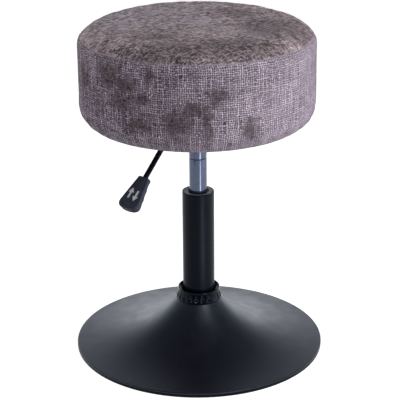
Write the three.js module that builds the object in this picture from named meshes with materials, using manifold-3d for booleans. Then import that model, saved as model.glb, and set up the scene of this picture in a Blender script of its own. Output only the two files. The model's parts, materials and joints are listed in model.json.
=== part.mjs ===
// Adjustable swivel stool: a round upholstered seat on a gas spring, carried by a trumpet base.
//
// Millimetres, +Z up. The origin is on the floor at the centre of the base, and the release
// lever points along -X. The seat is drawn SEAT_RAISE above its lowest position.
//
// From the floor up: base, column with its thrust bearing, gas spring, seat mechanism, seat.
import * as THREE from "three";
import { mergeVertices } from "three/addons/utils/BufferGeometryUtils.js";
import Module from "manifold-3d";

const wasm = await Module();
wasm.setup();

// ---------------------------------------------------------------- driving dimensions

// Clearances
const REST_GAP = 0.3; // between two pieces that rest on or against each other
const FIT_GAP = 0.2; // all round a piece that sits in a bore
const RUNNING_GAP = 0.35; // all round a piece that turns in a bore
const HOLE_GAP = 0.35; // all round a bolt in its hole

// Trumpet base
const BASE_RADIUS = 200;
const RIM_DEPTH = 5.3; // height of the turned-down edge
const RIM_ROUND = 1.8; // outside radius where the sheet turns down
const SHELL_WALL = 1.6;
const NECK_RADIUS = 36; // top of the flare
const NECK_HEIGHT = 78; // top of the flare above the floor
const FLARE_DECAY = 59; // the flare falls to 1/e of its height over this radius

// Rubber ring under the rim
const FLOOR_RING_FOOT = 1.7;
const FLOOR_RING_WIDTH = 10;
const FLOOR_RING_CHAMFER = 0.6;
const FLOOR_RING_LIP_WIDTH = 3.2;
const FLOOR_RING_LIP_HEIGHT = 3;

// Ballast plate that closes the base from below
const BALLAST_MARGIN = 28; // from the edge of the base to the edge of the plate
const BALLAST_THICKNESS = 3;
const BALLAST_BORE_MARGIN = 2; // from the column to the plate's bore
const BEAD_COUNT = 6;
const BEAD_INNER = 74;
const BEAD_OUTER = 136;
const BEAD_WIDTH = 16;
const BEAD_HEIGHT = 3;
const BEAD_DRAFT = 2; // the hollow underneath is smaller than the bead by this much all round

// Hub: the socket that the column is driven into
const HUB_RADIUS = 30;
const HUB_FLANGE_RADIUS = 58;
const HUB_FLANGE_THICKNESS = 6;
const HUB_FILLET = 4;
const HUB_ABOVE_NECK = 10;
const BASE_BOLT_CIRCLE = 45; // radius
const BASE_BOLT_RADIUS = 3;
const BASE_BOLT_HEAD = 3.2; // height
const BASE_BOLT_HEX = 5; // half the width across flats
const BASE_BOLT_PROUD = 1; // past the flange

// Ring nut that hides the joint between base and column
const COLLAR_RADIUS = 37.3;
const COLLAR_HEIGHT = 19.4;
const COLLAR_RIM_HEIGHT = 7.4;
const COLLAR_RIM_RADIUS = 32.9;
const COLLAR_RIM_ROUND = 3.4;
const COLLAR_BORE_MARGIN = 2.4; // from the column to the collar's bore
const COLLAR_STEP = 0.7; // the skirt starts this far outside the rim
const COLLAR_DIMPLE_COUNT = 22;
const COLLAR_DIMPLE_DEPTH = 1.5;
const COLLAR_DIMPLE_RADIUS = 3.3;

// Column: the outer tube of the gas spring
const COLUMN_RADIUS = 25.4;
const COLUMN_WALL = 2;
const COLUMN_STANDOFF = 10.5; // from the hub's foot to the column's foot
const COLUMN_FLOOR = 3; // thickness of the column's closed end
const COLUMN_TAPER_LENGTH = 68;
const COLUMN_TAPER_DROP = 1.6; // in radius
const BUSH_LENGTH = 90;
const BUSH_DISH = 2.4; // depth of the hollow in the bush's top

// Thrust bearing on the column's floor, and what is round the piston rod's foot
const RACE_RADIUS = 14;
const RACE_THICKNESS = 2;
const BALL_RADIUS = 2;
const BALL_COUNT = 8;
const BUFFER_RADIUS = 12;
const BUFFER_HEIGHT = 18;
const WASHER_RADIUS = 9.5;
const WASHER_THICKNESS = 2;
const CLIP_RADIUS = 8;
const CLIP_THICKNESS = 1.8;

// Travel of the seat
const STROKE = 120;
const SEAT_RAISE = 65; // how far above its lowest position the seat is drawn
const LOWEST_GAP = 5.7; // from the column to the cone socket at the lowest position
const END_GAP = 3; // left between moving pieces at each end of the stroke

// Gas spring
const CYLINDER_RADIUS = 14;
const CYLINDER_WALL = 2.5;
const CRIMP = 1.8; // thickness of the cylinder's rolled ends
const CRIMP_WIDTH = 3;
const CONE_LENGTH = 26.5; // how far the cylinder's tapered top is held
const CONE_DROP = 0.8; // in radius, over the cone
const CONE_WALL = 3.6;
const CYLINDER_PROUD = 2; // above the cone socket
const GROOVE_BELOW_CONE = 14.5;
const GROOVE_DEPTH = 0.7;
const GROOVE_WIDTH = 1;
const ROD_RADIUS = 5;
const ROD_FOOT_RADIUS = 4; // where the rod passes the bearing
const ROD_TOP_RADIUS = 4; // where the piston is held
const PISTON_HEIGHT = 15;
const PISTON_GROOVE_DEPTH = 2;
const PISTON_SEAL_HEIGHT = 2.4;
const PISTON_NUT_HEIGHT = 4;
const PISTON_NUT_HEX = 7; // half the width across flats
const VALVE_HEIGHT = 48;
const PIN_RADIUS = 3;
const PIN_LENGTH = 32;
const PIN_DOME = 1.6;
const PIN_PROUD = 5; // release pin above the cylinder's top
const GUIDE_HEIGHT = 18;
const ROD_SEAL_HEIGHT = 5;

// Seat mechanism
const PLATE_HALF_WIDTH = 60;
const PLATE_CORNER = 12;
const PLATE_THICKNESS = 2.5;
const PAN_RADIUS = 41; // at the flange, outside
const PAN_FLOOR_RADIUS = 36; // at the floor, outside
const PAN_DEPTH = 22.3; // from the flange's top to the floor's top
const PAN_BELOW_CONE_TOP = 1; // the cone socket stands this far into the pan
const SEAT_BOLT_SPACING = 88;
const SEAT_BOLT_RADIUS = 2.9;
const SEAT_BOLT_HEAD = 4;
const SEAT_BOLT_HEX = 5; // half the width across flats
const SEAT_BOLT_FLANGE = 7;
const SEAT_BOLT_FLANGE_THICKNESS = 1.2;

// Release lever
const LEVER_ROD_RADIUS = 3.5;
const LEVER_BEND_REACH = 68.9; // from the stool's axis to the corner of the bend
const LEVER_BEND_RADIUS = 14;
const LEVER_DROP_ANGLE = 43; // degrees below the horizontal
const LEVER_DROP_LENGTH = 75.5; // from the corner of the bend to the handle
const LEVER_SLOT_GAP = 1.4; // round the lever where it leaves the pan
const TONGUE_WIDTH = 12;
const TONGUE_THICKNESS = 6;
const TONGUE_PAST_AXIS = 6;
const TONGUE_PAST_BRACKET = 3;
const PIVOT_EYE_WALL = 1.3; // of the tongue, above and below the pivot's hole
const PIVOT_HEAD_STEP = 1.2; // the head is this much larger than the pin, in radius
const PIVOT_HEAD_THICKNESS = 1.5;
const PIVOT_PROUD = 1.2; // past the bracket
const BRACKET_PAN_GAP = 0.85; // from the bracket's corners to the pan's wall
const BRACKET_SOCKET_GAP = 2.9; // from the bracket to the cone socket
const BRACKET_WALL = 2;
const BRACKET_SIDE_GAP = 0.6; // from the tongue to the bracket's ears
const BRACKET_EAR_TOP = 4.5; // above the pivot

// Moulded handle on the lever
const HANDLE_LENGTH = 57.5;
const HANDLE_NECK_WIDTH = 18;
const HANDLE_WIDTH = 37.5;
const HANDLE_NECK_THICKNESS = 10;
const HANDLE_THICKNESS = 13;
const HANDLE_SHOULDER = 12; // from the widest place to the rounded end
const HANDLE_EDGE = 2.2; // rounding of its edges
const HANDLE_GRIP_DEPTH = 36; // how far the rod goes in
const FINGER_COUNT = 3;
const FINGER_PITCH = 14;
const FINGER_START = 13; // from the neck to the first finger hollow
const FINGER_RADIUS = 15;
const FINGER_DEPTH = 1.3;

// Seat
const SEAT_RADIUS = 183;
const SEAT_HEIGHT = 160.5; // from the lowest fabric to the middle of the crown
const CROWN = 7;
const TOP_ROUND = { width: 35, height: 26, fullness: 1.65 };
const FOOT_ROUND = { width: 28, height: 38, fullness: 2.3 };
const COVER_THICKNESS = 1.6;
const BOARD_EDGE_PAD = 5; // foam round the board, inside the rounding of the seat's foot
const BOARD_THICKNESS = 15;
const BOARD_ROUND = 1.5;
const HEM_WIDTH = 15; // the cover is turned in under the board this far
const T_NUT_FLANGE = 9.5;
const T_NUT_FLANGE_THICKNESS = 1.5;
const T_NUT_BARREL = 4.1;
const T_NUT_BARREL_LENGTH = 11;
const DUST_COVER_THICKNESS = 0.6;
const DUST_COVER_MARGIN = 5; // from the board's edge to the cloth's edge
const DUST_COVER_FOLD = 2; // width of the step down on to the hem

// Facets
const SEAT_SIDES = 32;
const BASE_SIDES = 40;
const COLLAR_SIDES = 44;
const TUBE_SIDES = 20;
const SMALL_SIDES = 12;
const BOLT_SIDES = 8;

// ---------------------------------------------------------------- levels, from the floor up

const rimFootZ = FLOOR_RING_FOOT + REST_GAP;
const rimTopZ = rimFootZ + RIM_DEPTH;
const ballastRadius = BASE_RADIUS - BALLAST_MARGIN;
const ballastTopZ = flareHeight(ballastRadius) - SHELL_WALL - REST_GAP;
const ballastFootZ = ballastTopZ - BALLAST_THICKNESS;
const hubFootZ = ballastTopZ + REST_GAP;
const hubFlangeTopZ = hubFootZ + HUB_FLANGE_THICKNESS;
const hubTopZ = NECK_HEIGHT + HUB_ABOVE_NECK;
const collarFootZ = NECK_HEIGHT + REST_GAP;
const collarTopZ = collarFootZ + COLLAR_HEIGHT;

const columnFootZ = hubFootZ + COLUMN_STANDOFF;
const columnFloorZ = columnFootZ + COLUMN_FLOOR;
const lowerRaceZ = columnFloorZ + REST_GAP;
const ballsZ = lowerRaceZ + RACE_THICKNESS + REST_GAP;
const upperRaceZ = ballsZ + 2 * BALL_RADIUS + REST_GAP;
const shoulderZ = upperRaceZ + RACE_THICKNESS + REST_GAP; // of the piston rod
const bufferTopZ = shoulderZ + BUFFER_HEIGHT;
const washerFootZ = columnFootZ - REST_GAP - WASHER_THICKNESS;
const clipFootZ = washerFootZ - REST_GAP - CLIP_THICKNESS;

// At full height the cylinder's foot still fills the bush, and this sets the column's length.
const columnTopZ = bufferTopZ + END_GAP + STROKE + BUSH_LENGTH;
const coneFootZ = columnTopZ + LOWEST_GAP + SEAT_RAISE;
const coneTopZ = coneFootZ + CONE_LENGTH;
const cylinderTopZ = coneTopZ + CYLINDER_PROUD;
const cylinderFootZ = bufferTopZ + END_GAP + SEAT_RAISE;
const grooveZ = coneFootZ - GROOVE_BELOW_CONE;
const guideFootZ = cylinderFootZ + CRIMP + REST_GAP;
const sealFootZ = guideFootZ + GUIDE_HEIGHT + REST_GAP;
const pistonFootZ = sealFootZ + ROD_SEAL_HEIGHT + (STROKE - SEAT_RAISE) + END_GAP;
const pistonMiddleZ = pistonFootZ + PISTON_HEIGHT / 2;
const pistonTopZ = pistonFootZ + PISTON_HEIGHT;
const rodTopZ = pistonTopZ + REST_GAP + PISTON_NUT_HEIGHT;
const valveTopZ = cylinderTopZ - CRIMP - REST_GAP;
const valveFootZ = valveTopZ - VALVE_HEIGHT;
const pinTopZ = cylinderTopZ + PIN_PROUD;

const panFloorZ = coneTopZ - PAN_BELOW_CONE_TOP;
const plateTopZ = panFloorZ + PAN_DEPTH;
const plateFlangeFootZ = plateTopZ - PLATE_THICKNESS;
const leverZ = pinTopZ + REST_GAP + TONGUE_THICKNESS / 2;
const dustCoverZ = plateTopZ + REST_GAP;
const boardFootZ = dustCoverZ + DUST_COVER_THICKNESS + REST_GAP;
const boardTopZ = boardFootZ + BOARD_THICKNESS;
const boardRadius = SEAT_RADIUS - FOOT_ROUND.width - BOARD_EDGE_PAD;
const hemInner = boardRadius - HEM_WIDTH;
const dustCoverRadius = boardRadius - DUST_COVER_MARGIN;
const seatFootZ = boardFootZ - REST_GAP - COVER_THICKNESS;

// ---------------------------------------------------------------- shapes

// The flare of the base, a falling exponential from the neck to the rim.
function flareHeight(radius) {
  const atRim = Math.exp(-(BASE_RADIUS - NECK_RADIUS) / FLARE_DECAY);
  const share = Math.exp(-(radius - NECK_RADIUS) / FLARE_DECAY);
  return rimTopZ + ((NECK_HEIGHT - rimTopZ) * (share - atRim)) / (1 - atRim);
}

// Points of a rounded edge, from one angle to another in degrees. A fullness of 2 is an
// ellipse, less is closer to a chamfer, and more is closer to a square corner.
function arc([centreR, centreZ], { width, height, fullness = 2 }, from, to, steps) {
  const soften = (v) => Math.sign(v) * Math.abs(v) ** (2 / fullness);
  return Array.from({ length: steps + 1 }, (_, i) => {
    const angle = THREE.MathUtils.degToRad(from + ((to - from) * i) / steps);
    return [centreR + width * soften(Math.cos(angle)), centreZ + height * soften(Math.sin(angle))];
  });
}

const quarterRound = (radius) => ({ width: radius, height: radius });

// A solid of revolution about Z. The profile is [radius, z] pairs. It starts and ends on the
// axis, or it is a closed outline whose last point joins the first.
function turned(profile, sides) {
  const points = profile.map(([r, z]) => new THREE.Vector2(Math.abs(r) < 1e-6 ? 0 : r, z));
  if (points[0].x > 0 || points.at(-1).x > 0) points.push(points[0].clone());
  if (THREE.ShapeUtils.area(points) < 0) points.reverse();
  return new THREE.LatheGeometry(points, sides).rotateX(Math.PI / 2);
}

// A plain ring, or a disc where the bore is 0.
function ring(bore, radius, footZ, topZ, sides) {
  return turned([[bore, footZ], [radius, footZ], [radius, topZ], [bore, topZ]], sides);
}

// An upright cylinder at a place, used for pins, bolts and cuts.
function rod(radius, footZ, topZ, sides, x = 0, y = 0) {
  return ring(0, radius, footZ, topZ, sides).translate(x, y, 0);
}

// An upright hexagonal prism, given half its width across flats.
function hexagon(halfFlats, footZ, topZ, x = 0, y = 0) {
  return rod(halfFlats / Math.cos(Math.PI / 6), footZ, topZ, 6, x, y);
}

// A flat shape in the XY plane, extruded upwards.
function extruded(shape, footZ, topZ, curveSegments) {
  const settings = { depth: topZ - footZ, bevelEnabled: false, curveSegments };
  return new THREE.ExtrudeGeometry(shape, settings).translate(0, 0, footZ);
}

// A box from its lowest and highest corners.
function box([x0, y0, z0], [x1, y1, z1]) {
  const body = new THREE.BoxGeometry(x1 - x0, y1 - y0, z1 - z0);
  return body.translate((x0 + x1) / 2, (y0 + y1) / 2, (z0 + z1) / 2);
}

// A slot outline with round ends, from x0 to x1 along X.
function slotShape(x0, x1, width) {
  const r = width / 2;
  const shape = new THREE.Shape();
  shape.absarc(x1 - r, 0, r, -Math.PI / 2, Math.PI / 2, false);
  shape.absarc(x0 + r, 0, r, Math.PI / 2, (3 * Math.PI) / 2, false);
  return shape;
}

function roundedSquare(half, corner) {
  const shape = new THREE.Shape();
  const reach = (half - corner) * Math.SQRT2;
  for (let quarter = 0; quarter < 4; quarter++) {
    const start = (quarter * Math.PI) / 2;
    const middle = start + Math.PI / 4;
    const [x, y] = [reach * Math.cos(middle), reach * Math.sin(middle)];
    shape.absarc(x, y, corner, start, start + Math.PI / 2, false);
  }
  return shape;
}

// A level cylinder along Y.
function crossRod(radius, halfLength, x, z, sides = SMALL_SIDES) {
  return rod(radius, -halfLength, halfLength, sides).rotateX(Math.PI / 2).translate(x, 0, z);
}

// ---------------------------------------------------------------- joining and cutting

const PAST = 1; // how far a cutting tool runs past the face that it cuts
const SUNK = 0.5; // how far joined pieces run into each other

function toSolid(geometry) {
  const positions = new THREE.BufferGeometry();
  const flat = geometry.index ? geometry.toNonIndexed() : geometry;
  positions.setAttribute("position", flat.getAttribute("position"));
  const merged = mergeVertices(positions, 1e-4);
  return new wasm.Manifold(
    new wasm.Mesh({
      numProp: 3,
      vertProperties: merged.attributes.position.array,
      triVerts: new Uint32Array(merged.index.array),
    }),
  );
}

function toGeometry(solid) {
  const mesh = solid.getMesh();
  return new THREE.BufferGeometry()
    .setAttribute("position", new THREE.BufferAttribute(mesh.vertProperties, 3))
    .setIndex(new THREE.BufferAttribute(mesh.triVerts, 1));
}

function joined(...geometries) {
  return toGeometry(geometries.map(toSolid).reduce((a, b) => a.add(b)));
}

function cut(geometry, ...tools) {
  return toGeometry(tools.map(toSolid).reduce((a, b) => a.subtract(b), toSolid(geometry)));
}

function common(a, b) {
  return toGeometry(toSolid(a).intersect(toSolid(b)));
}

// ---------------------------------------------------------------- materials and the scene graph

const finish = (color, roughness, metalness) =>
  new THREE.MeshStandardMaterial({ color, roughness, metalness });
const blackPaint = finish(0x1d1f24, 0.45, 0.3);
const blackPlastic = finish(0x15161a, 0.4, 0);
const blackRubber = finish(0x101012, 0.8, 0);
const zincSteel = finish(0xa8aab0, 0.35, 1);
const paintedCylinder = finish(0x7e828f, 0.3, 0.8);
const chromedSteel = finish(0xc9ccd2, 0.12, 1);
const greyPlastic = finish(0x3a3b40, 0.5, 0);
const plywood = finish(0xb08d5e, 0.7, 0);
const foam = finish(0xd9d2b8, 0.95, 0);
const chenille = finish(0x75676b, 0.95, 0);
const blackCloth = finish(0x1a1a1c, 0.95, 0);

const stool = new THREE.Group();

function place(name, geometry, material) {
  const mesh = new THREE.Mesh(geometry, material);
  mesh.name = name;
  stool.add(mesh);
}

// Four places on a square, one in each quadrant.
const squareCorners = (half) => [[half, half], [-half, half], [-half, -half], [half, -half]];
const baseBoltPlaces = squareCorners(BASE_BOLT_CIRCLE / Math.SQRT2);
const seatBoltPlaces = squareCorners(SEAT_BOLT_SPACING / 2);

// ---------------------------------------------------------------- base

// Spun sheet: a turned-down rim, the flare, and a flat lip round the hub.
function baseShell() {
  const stations = 6;
  const outer = [];
  const inner = [];
  for (let i = 0; i <= stations; i++) {
    const share = (i / stations) ** 1.4; // closer together near the neck
    const r = NECK_RADIUS + (BASE_RADIUS - RIM_ROUND - NECK_RADIUS) * share;
    const slope = Math.atan(flareHeight(r - 0.5) - flareHeight(r + 0.5));
    outer.unshift([r, flareHeight(r)]);
    inner.push([r - SHELL_WALL * Math.sin(slope), flareHeight(r) - SHELL_WALL * Math.cos(slope)]);
  }
  const rimRoundZ = outer[0][1] - RIM_ROUND;
  const lipBore = HUB_RADIUS + FIT_GAP;
  const lipFootZ = NECK_HEIGHT - SHELL_WALL;
  return turned(
    [
      [BASE_RADIUS - SHELL_WALL, rimFootZ],
      [BASE_RADIUS, rimFootZ],
      ...arc([BASE_RADIUS - RIM_ROUND, rimRoundZ], quarterRound(RIM_ROUND), 0, 60, 2),
      ...outer,
      [lipBore, NECK_HEIGHT],
      [lipBore, lipFootZ],
      [inner[0][0], lipFootZ],
      ...inner.slice(1, -1),
      [BASE_RADIUS - SHELL_WALL, rimTopZ - SHELL_WALL],
    ],
    BASE_SIDES,
  );
}

// Rubber L-section pressed into the rim. The stool stands on it.
function floorRing() {
  const lipOuter = BASE_RADIUS - SHELL_WALL - FIT_GAP;
  const lipInner = lipOuter - FLOOR_RING_LIP_WIDTH;
  const lipTopZ = Math.min(rimFootZ + FLOOR_RING_LIP_HEIGHT, rimTopZ - SHELL_WALL - REST_GAP);
  const footInner = BASE_RADIUS - FLOOR_RING_WIDTH;
  return turned(
    [
      [footInner, 0],
      [BASE_RADIUS - FLOOR_RING_CHAMFER, 0],
      [BASE_RADIUS, FLOOR_RING_FOOT],
      [lipOuter, FLOOR_RING_FOOT],
      [lipOuter, lipTopZ],
      [lipInner, lipTopZ],
      [lipInner, FLOOR_RING_FOOT],
      [footInner, FLOOR_RING_FOOT],
    ],
    BASE_SIDES,
  );
}

// Steel disc with pressed beads. Each bead is raised on top and hollow underneath.
function ballastPlate() {
  const bore = COLUMN_RADIUS + BALLAST_BORE_MARGIN;
  const hollowTopZ = ballastTopZ + BEAD_HEIGHT - BALLAST_THICKNESS / 2;
  const beadTop = slotShape(BEAD_INNER, BEAD_OUTER, BEAD_WIDTH);
  const beadFoot = slotShape(BEAD_INNER + BEAD_DRAFT, BEAD_OUTER - BEAD_DRAFT, BEAD_WIDTH - 2 * BEAD_DRAFT);
  const raised = [];
  const hollows = [];
  for (let i = 0; i < BEAD_COUNT; i++) {
    const turn = ((i + 0.5) * 2 * Math.PI) / BEAD_COUNT;
    raised.push(extruded(beadTop, ballastTopZ - SUNK, ballastTopZ + BEAD_HEIGHT, 2).rotateZ(turn));
    hollows.push(extruded(beadFoot, ballastFootZ - PAST, hollowTopZ, 2).rotateZ(turn));
  }
  const holes = baseBoltPlaces.map(([x, y]) =>
    rod(BASE_BOLT_RADIUS + HOLE_GAP, ballastFootZ - PAST, ballastTopZ + PAST, BOLT_SIDES, x, y),
  );
  const disc = ring(bore, ballastRadius, ballastFootZ, ballastTopZ, BASE_SIDES);
  return cut(joined(disc, ...raised), ...hollows, ...holes);
}

// The radius of the column's outside at a height: tapered in the hub, straight above.
function columnOutside(z) {
  const share = THREE.MathUtils.clamp((z - columnFootZ) / COLUMN_TAPER_LENGTH, 0, 1);
  return COLUMN_RADIUS - COLUMN_TAPER_DROP * (1 - share);
}

// Tapered socket with a flange for the ballast plate.
function hubSocket() {
  const bore = (z) => columnOutside(z) + FIT_GAP;
  const taperTopZ = Math.min(columnFootZ + COLUMN_TAPER_LENGTH, hubTopZ - SUNK);
  const body = turned(
    [
      [bore(hubFootZ), hubFootZ],
      [HUB_FLANGE_RADIUS, hubFootZ],
      [HUB_FLANGE_RADIUS, hubFlangeTopZ],
      [HUB_RADIUS + HUB_FILLET, hubFlangeTopZ],
      [HUB_RADIUS, hubFlangeTopZ + HUB_FILLET],
      [HUB_RADIUS, hubTopZ],
      [bore(hubTopZ), hubTopZ],
      [bore(taperTopZ), taperTopZ],
      [bore(columnFootZ), columnFootZ],
    ],
    TUBE_SIDES,
  );
  const holes = baseBoltPlaces.map(([x, y]) =>
    rod(BASE_BOLT_RADIUS + HOLE_GAP, hubFootZ - PAST, hubFlangeTopZ + PAST, BOLT_SIDES, x, y),
  );
  return cut(body, ...holes);
}

// Hexagon bolt, screwed up through the plate into the hub's flange.
function baseBolt([x, y]) {
  const headTopZ = ballastFootZ - REST_GAP;
  return joined(
    hexagon(BASE_BOLT_HEX, headTopZ - BASE_BOLT_HEAD, headTopZ, x, y),
    rod(BASE_BOLT_RADIUS, headTopZ - SUNK, hubFlangeTopZ + BASE_BOLT_PROUD, BOLT_SIDES, x, y),
  );
}

// Plastic ring nut: a flared skirt with teardrop grips under a rolled rim.
function collar() {
  const bore = COLUMN_RADIUS + COLLAR_BORE_MARGIN;
  const skirtBore = HUB_RADIUS + FIT_GAP;
  const skirtTopZ = collarTopZ - COLLAR_RIM_HEIGHT;
  const skirtTopRadius = COLLAR_RIM_RADIUS + COLLAR_STEP;
  const edge = 1.2; // chamfer at the skirt's foot
  const stepZ = hubTopZ + REST_GAP;
  const body = turned(
    [
      [skirtBore, collarFootZ],
      [COLLAR_RADIUS - edge, collarFootZ],
      [COLLAR_RADIUS, collarFootZ + edge],
      [skirtTopRadius, skirtTopZ - COLLAR_STEP],
      [COLLAR_RIM_RADIUS - COLLAR_STEP, skirtTopZ],
      [COLLAR_RIM_RADIUS, skirtTopZ + COLLAR_STEP],
      ...arc(
        [COLLAR_RIM_RADIUS - COLLAR_RIM_ROUND, collarTopZ - COLLAR_RIM_ROUND],
        quarterRound(COLLAR_RIM_ROUND),
        0,
        90,
        2,
      ),
      [bore + edge, collarTopZ - edge / 2],
      [bore, collarTopZ - 2 * edge],
      [bore, stepZ],
      [skirtBore, stepZ],
    ],
    COLLAR_SIDES,
  );
  return cut(body, ...collarDimples(skirtTopRadius, skirtTopZ));
}

// Drop-shaped cutters that lie along the skirt, round below and pointed above.
function collarDimples(skirtTopRadius, skirtTopZ) {
  const footZ = collarFootZ + 1.6;
  const tipZ = skirtTopZ - 0.6;
  const r = COLLAR_DIMPLE_RADIUS;
  const lean = Math.atan((COLLAR_RADIUS - skirtTopRadius) / (skirtTopZ - collarFootZ));
  const drop = turned([[0, 0], [0.75 * r, 0.3 * r], [r, r], [0.8 * r, 1.7 * r], [0, tipZ - footZ]], 6);
  return Array.from({ length: COLLAR_DIMPLE_COUNT }, (_, i) => {
    const turn = (i * 2 * Math.PI) / COLLAR_DIMPLE_COUNT;
    const reach = COLLAR_RADIUS + r - COLLAR_DIMPLE_DEPTH;
    return drop.clone().rotateY(-lean).translate(reach, 0, footZ).rotateZ(turn);
  });
}

function addBase() {
  place("base_shell", baseShell(), blackPaint);
  place("floor_ring", floorRing(), blackRubber);
  place("ballast_plate", ballastPlate(), blackPaint);
  place("hub_socket", hubSocket(), blackPaint);
  baseBoltPlaces.forEach((at, i) => {
    place(`base_bolt_${i + 1}`, baseBolt(at), zincSteel);
  });
  place("collar", collar(), blackPlastic);
}

// ---------------------------------------------------------------- column and thrust bearing

const floorBore = ROD_FOOT_RADIUS + 2.5; // hole in the column's closed end

function columnTube() {
  const inside = (z) => columnOutside(z) - COLUMN_WALL;
  const taperTopZ = columnFootZ + COLUMN_TAPER_LENGTH;
  const edge = COLUMN_WALL / 2;
  return turned(
    [
      [floorBore, columnFootZ],
      [columnOutside(columnFootZ) - edge, columnFootZ],
      [columnOutside(columnFootZ + edge), columnFootZ + edge],
      [COLUMN_RADIUS, taperTopZ],
      [COLUMN_RADIUS, columnTopZ - edge],
      [COLUMN_RADIUS - 0.3 * edge, columnTopZ - 0.3 * edge],
      [COLUMN_RADIUS - edge, columnTopZ],
      [COLUMN_RADIUS - COLUMN_WALL, columnTopZ - 0.2 * edge],
      [COLUMN_RADIUS - COLUMN_WALL, taperTopZ],
      [inside(columnFloorZ), columnFloorZ],
      [floorBore, columnFloorZ],
    ],
    TUBE_SIDES,
  );
}

// Long plastic bearing for the cylinder, with a dished top.
function guideBush() {
  const bore = CYLINDER_RADIUS + RUNNING_GAP;
  const outside = COLUMN_RADIUS - COLUMN_WALL - FIT_GAP;
  const footZ = columnTopZ - BUSH_LENGTH;
  const dishFootZ = columnTopZ - BUSH_DISH;
  const dishWidth = 0.35 * (outside - bore);
  return turned(
    [
      [bore, footZ],
      [outside, footZ],
      [outside, columnTopZ - REST_GAP],
      [bore + dishWidth, columnTopZ - REST_GAP],
      [bore + dishWidth / 2, dishFootZ],
      [bore, dishFootZ],
    ],
    TUBE_SIDES,
  );
}

// A ring of balls in their cage.
function bearingCage() {
  const bore = ROD_FOOT_RADIUS + 1.6;
  const outside = RACE_RADIUS - 0.6;
  const middleZ = ballsZ + BALL_RADIUS;
  const pitch = (bore + outside) / 2;
  const half = 0.45 * BALL_RADIUS;
  const band = ring(bore, outside, middleZ - half, middleZ + half, TUBE_SIDES);
  const balls = Array.from({ length: BALL_COUNT }, (_, i) => {
    const ball = new THREE.SphereGeometry(BALL_RADIUS, 6, 4).rotateX(Math.PI / 2);
    return ball.translate(pitch, 0, middleZ).rotateZ((i * 2 * Math.PI) / BALL_COUNT);
  });
  return joined(band, ...balls);
}

const clipGrooveRadius = ROD_FOOT_RADIUS - 1;

// Spring clip in the groove of the piston rod's foot, open on one side.
function retainingClip() {
  const bore = clipGrooveRadius + FIT_GAP;
  const topZ = clipFootZ + CLIP_THICKNESS;
  const mouthHalf = 0.9 * bore;
  const mouth = box([0, -mouthHalf, clipFootZ - PAST], [CLIP_RADIUS + PAST, mouthHalf, topZ + PAST]);
  return cut(ring(bore, CLIP_RADIUS, clipFootZ, topZ, SMALL_SIDES), mouth);
}

function addColumn() {
  const bore = ROD_FOOT_RADIUS + FIT_GAP;
  const upperRace = ring(bore, RACE_RADIUS, upperRaceZ, upperRaceZ + RACE_THICKNESS, TUBE_SIDES);
  const lowerRace = ring(bore, RACE_RADIUS, lowerRaceZ, lowerRaceZ + RACE_THICKNESS, TUBE_SIDES);
  const washer = ring(bore, WASHER_RADIUS, washerFootZ, washerFootZ + WASHER_THICKNESS, SMALL_SIDES);
  const buffer = ring(ROD_RADIUS + FIT_GAP, BUFFER_RADIUS, shoulderZ, bufferTopZ, SMALL_SIDES);
  place("column_tube", columnTube(), blackPaint);
  place("guide_bush", guideBush(), greyPlastic);
  place("bearing_lower_race", lowerRace, zincSteel);
  place("bearing_cage", bearingCage(), zincSteel);
  place("bearing_upper_race", upperRace, zincSteel);
  place("foot_washer", washer, zincSteel);
  place("retaining_clip", retainingClip(), zincSteel);
  place("rubber_buffer", buffer, blackRubber);
}

// ---------------------------------------------------------------- gas spring

const cylinderBore = CYLINDER_RADIUS - CYLINDER_WALL;
const crimpBore = cylinderBore - CRIMP_WIDTH;

// The radius of the cylinder's outside at a height: straight, then tapered in the cone socket.
function cylinderOutside(z) {
  return CYLINDER_RADIUS - (CONE_DROP * Math.max(0, z - coneFootZ)) / CONE_LENGTH;
}

// Pressure tube with rolled ends and the groove that holds the valve.
function gasCylinder() {
  const topRadius = cylinderOutside(cylinderTopZ);
  const edge = 1; // chamfer at both ends
  const grooveRadius = CYLINDER_RADIUS - GROOVE_DEPTH;
  return turned(
    [
      [crimpBore, cylinderFootZ],
      [CYLINDER_RADIUS - edge, cylinderFootZ],
      [CYLINDER_RADIUS, cylinderFootZ + edge],
      [CYLINDER_RADIUS, grooveZ - GROOVE_WIDTH],
      [grooveRadius, grooveZ - GROOVE_WIDTH / 2],
      [grooveRadius, grooveZ + GROOVE_WIDTH / 2],
      [CYLINDER_RADIUS, grooveZ + GROOVE_WIDTH],
      [CYLINDER_RADIUS, coneFootZ],
      [topRadius, cylinderTopZ - edge],
      [topRadius - edge, cylinderTopZ],
      [crimpBore, cylinderTopZ],
      [crimpBore, cylinderTopZ - CRIMP],
      [cylinderBore, cylinderTopZ - CRIMP],
      [cylinderBore, cylinderFootZ + CRIMP],
      [crimpBore, cylinderFootZ + CRIMP],
    ],
    TUBE_SIDES,
  );
}

// Steel rod with a shoulder on the bearing, a groove for the clip and a stepped top.
function pistonRod() {
  const footZ = clipFootZ - 2;
  const clipTopZ = clipFootZ + CLIP_THICKNESS;
  return turned(
    [
      [0, footZ],
      [clipGrooveRadius, footZ],
      [ROD_FOOT_RADIUS, footZ + 1],
      [ROD_FOOT_RADIUS, clipFootZ - FIT_GAP],
      [clipGrooveRadius, clipFootZ - FIT_GAP],
      [clipGrooveRadius, clipTopZ + FIT_GAP / 2],
      [ROD_FOOT_RADIUS, clipTopZ + FIT_GAP / 2],
      [ROD_FOOT_RADIUS, shoulderZ],
      [ROD_RADIUS, shoulderZ],
      [ROD_RADIUS, pistonFootZ - REST_GAP],
      [ROD_TOP_RADIUS, pistonFootZ - REST_GAP],
      [ROD_TOP_RADIUS, rodTopZ],
      [0, rodTopZ],
    ],
    SMALL_SIDES,
  );
}

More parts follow.
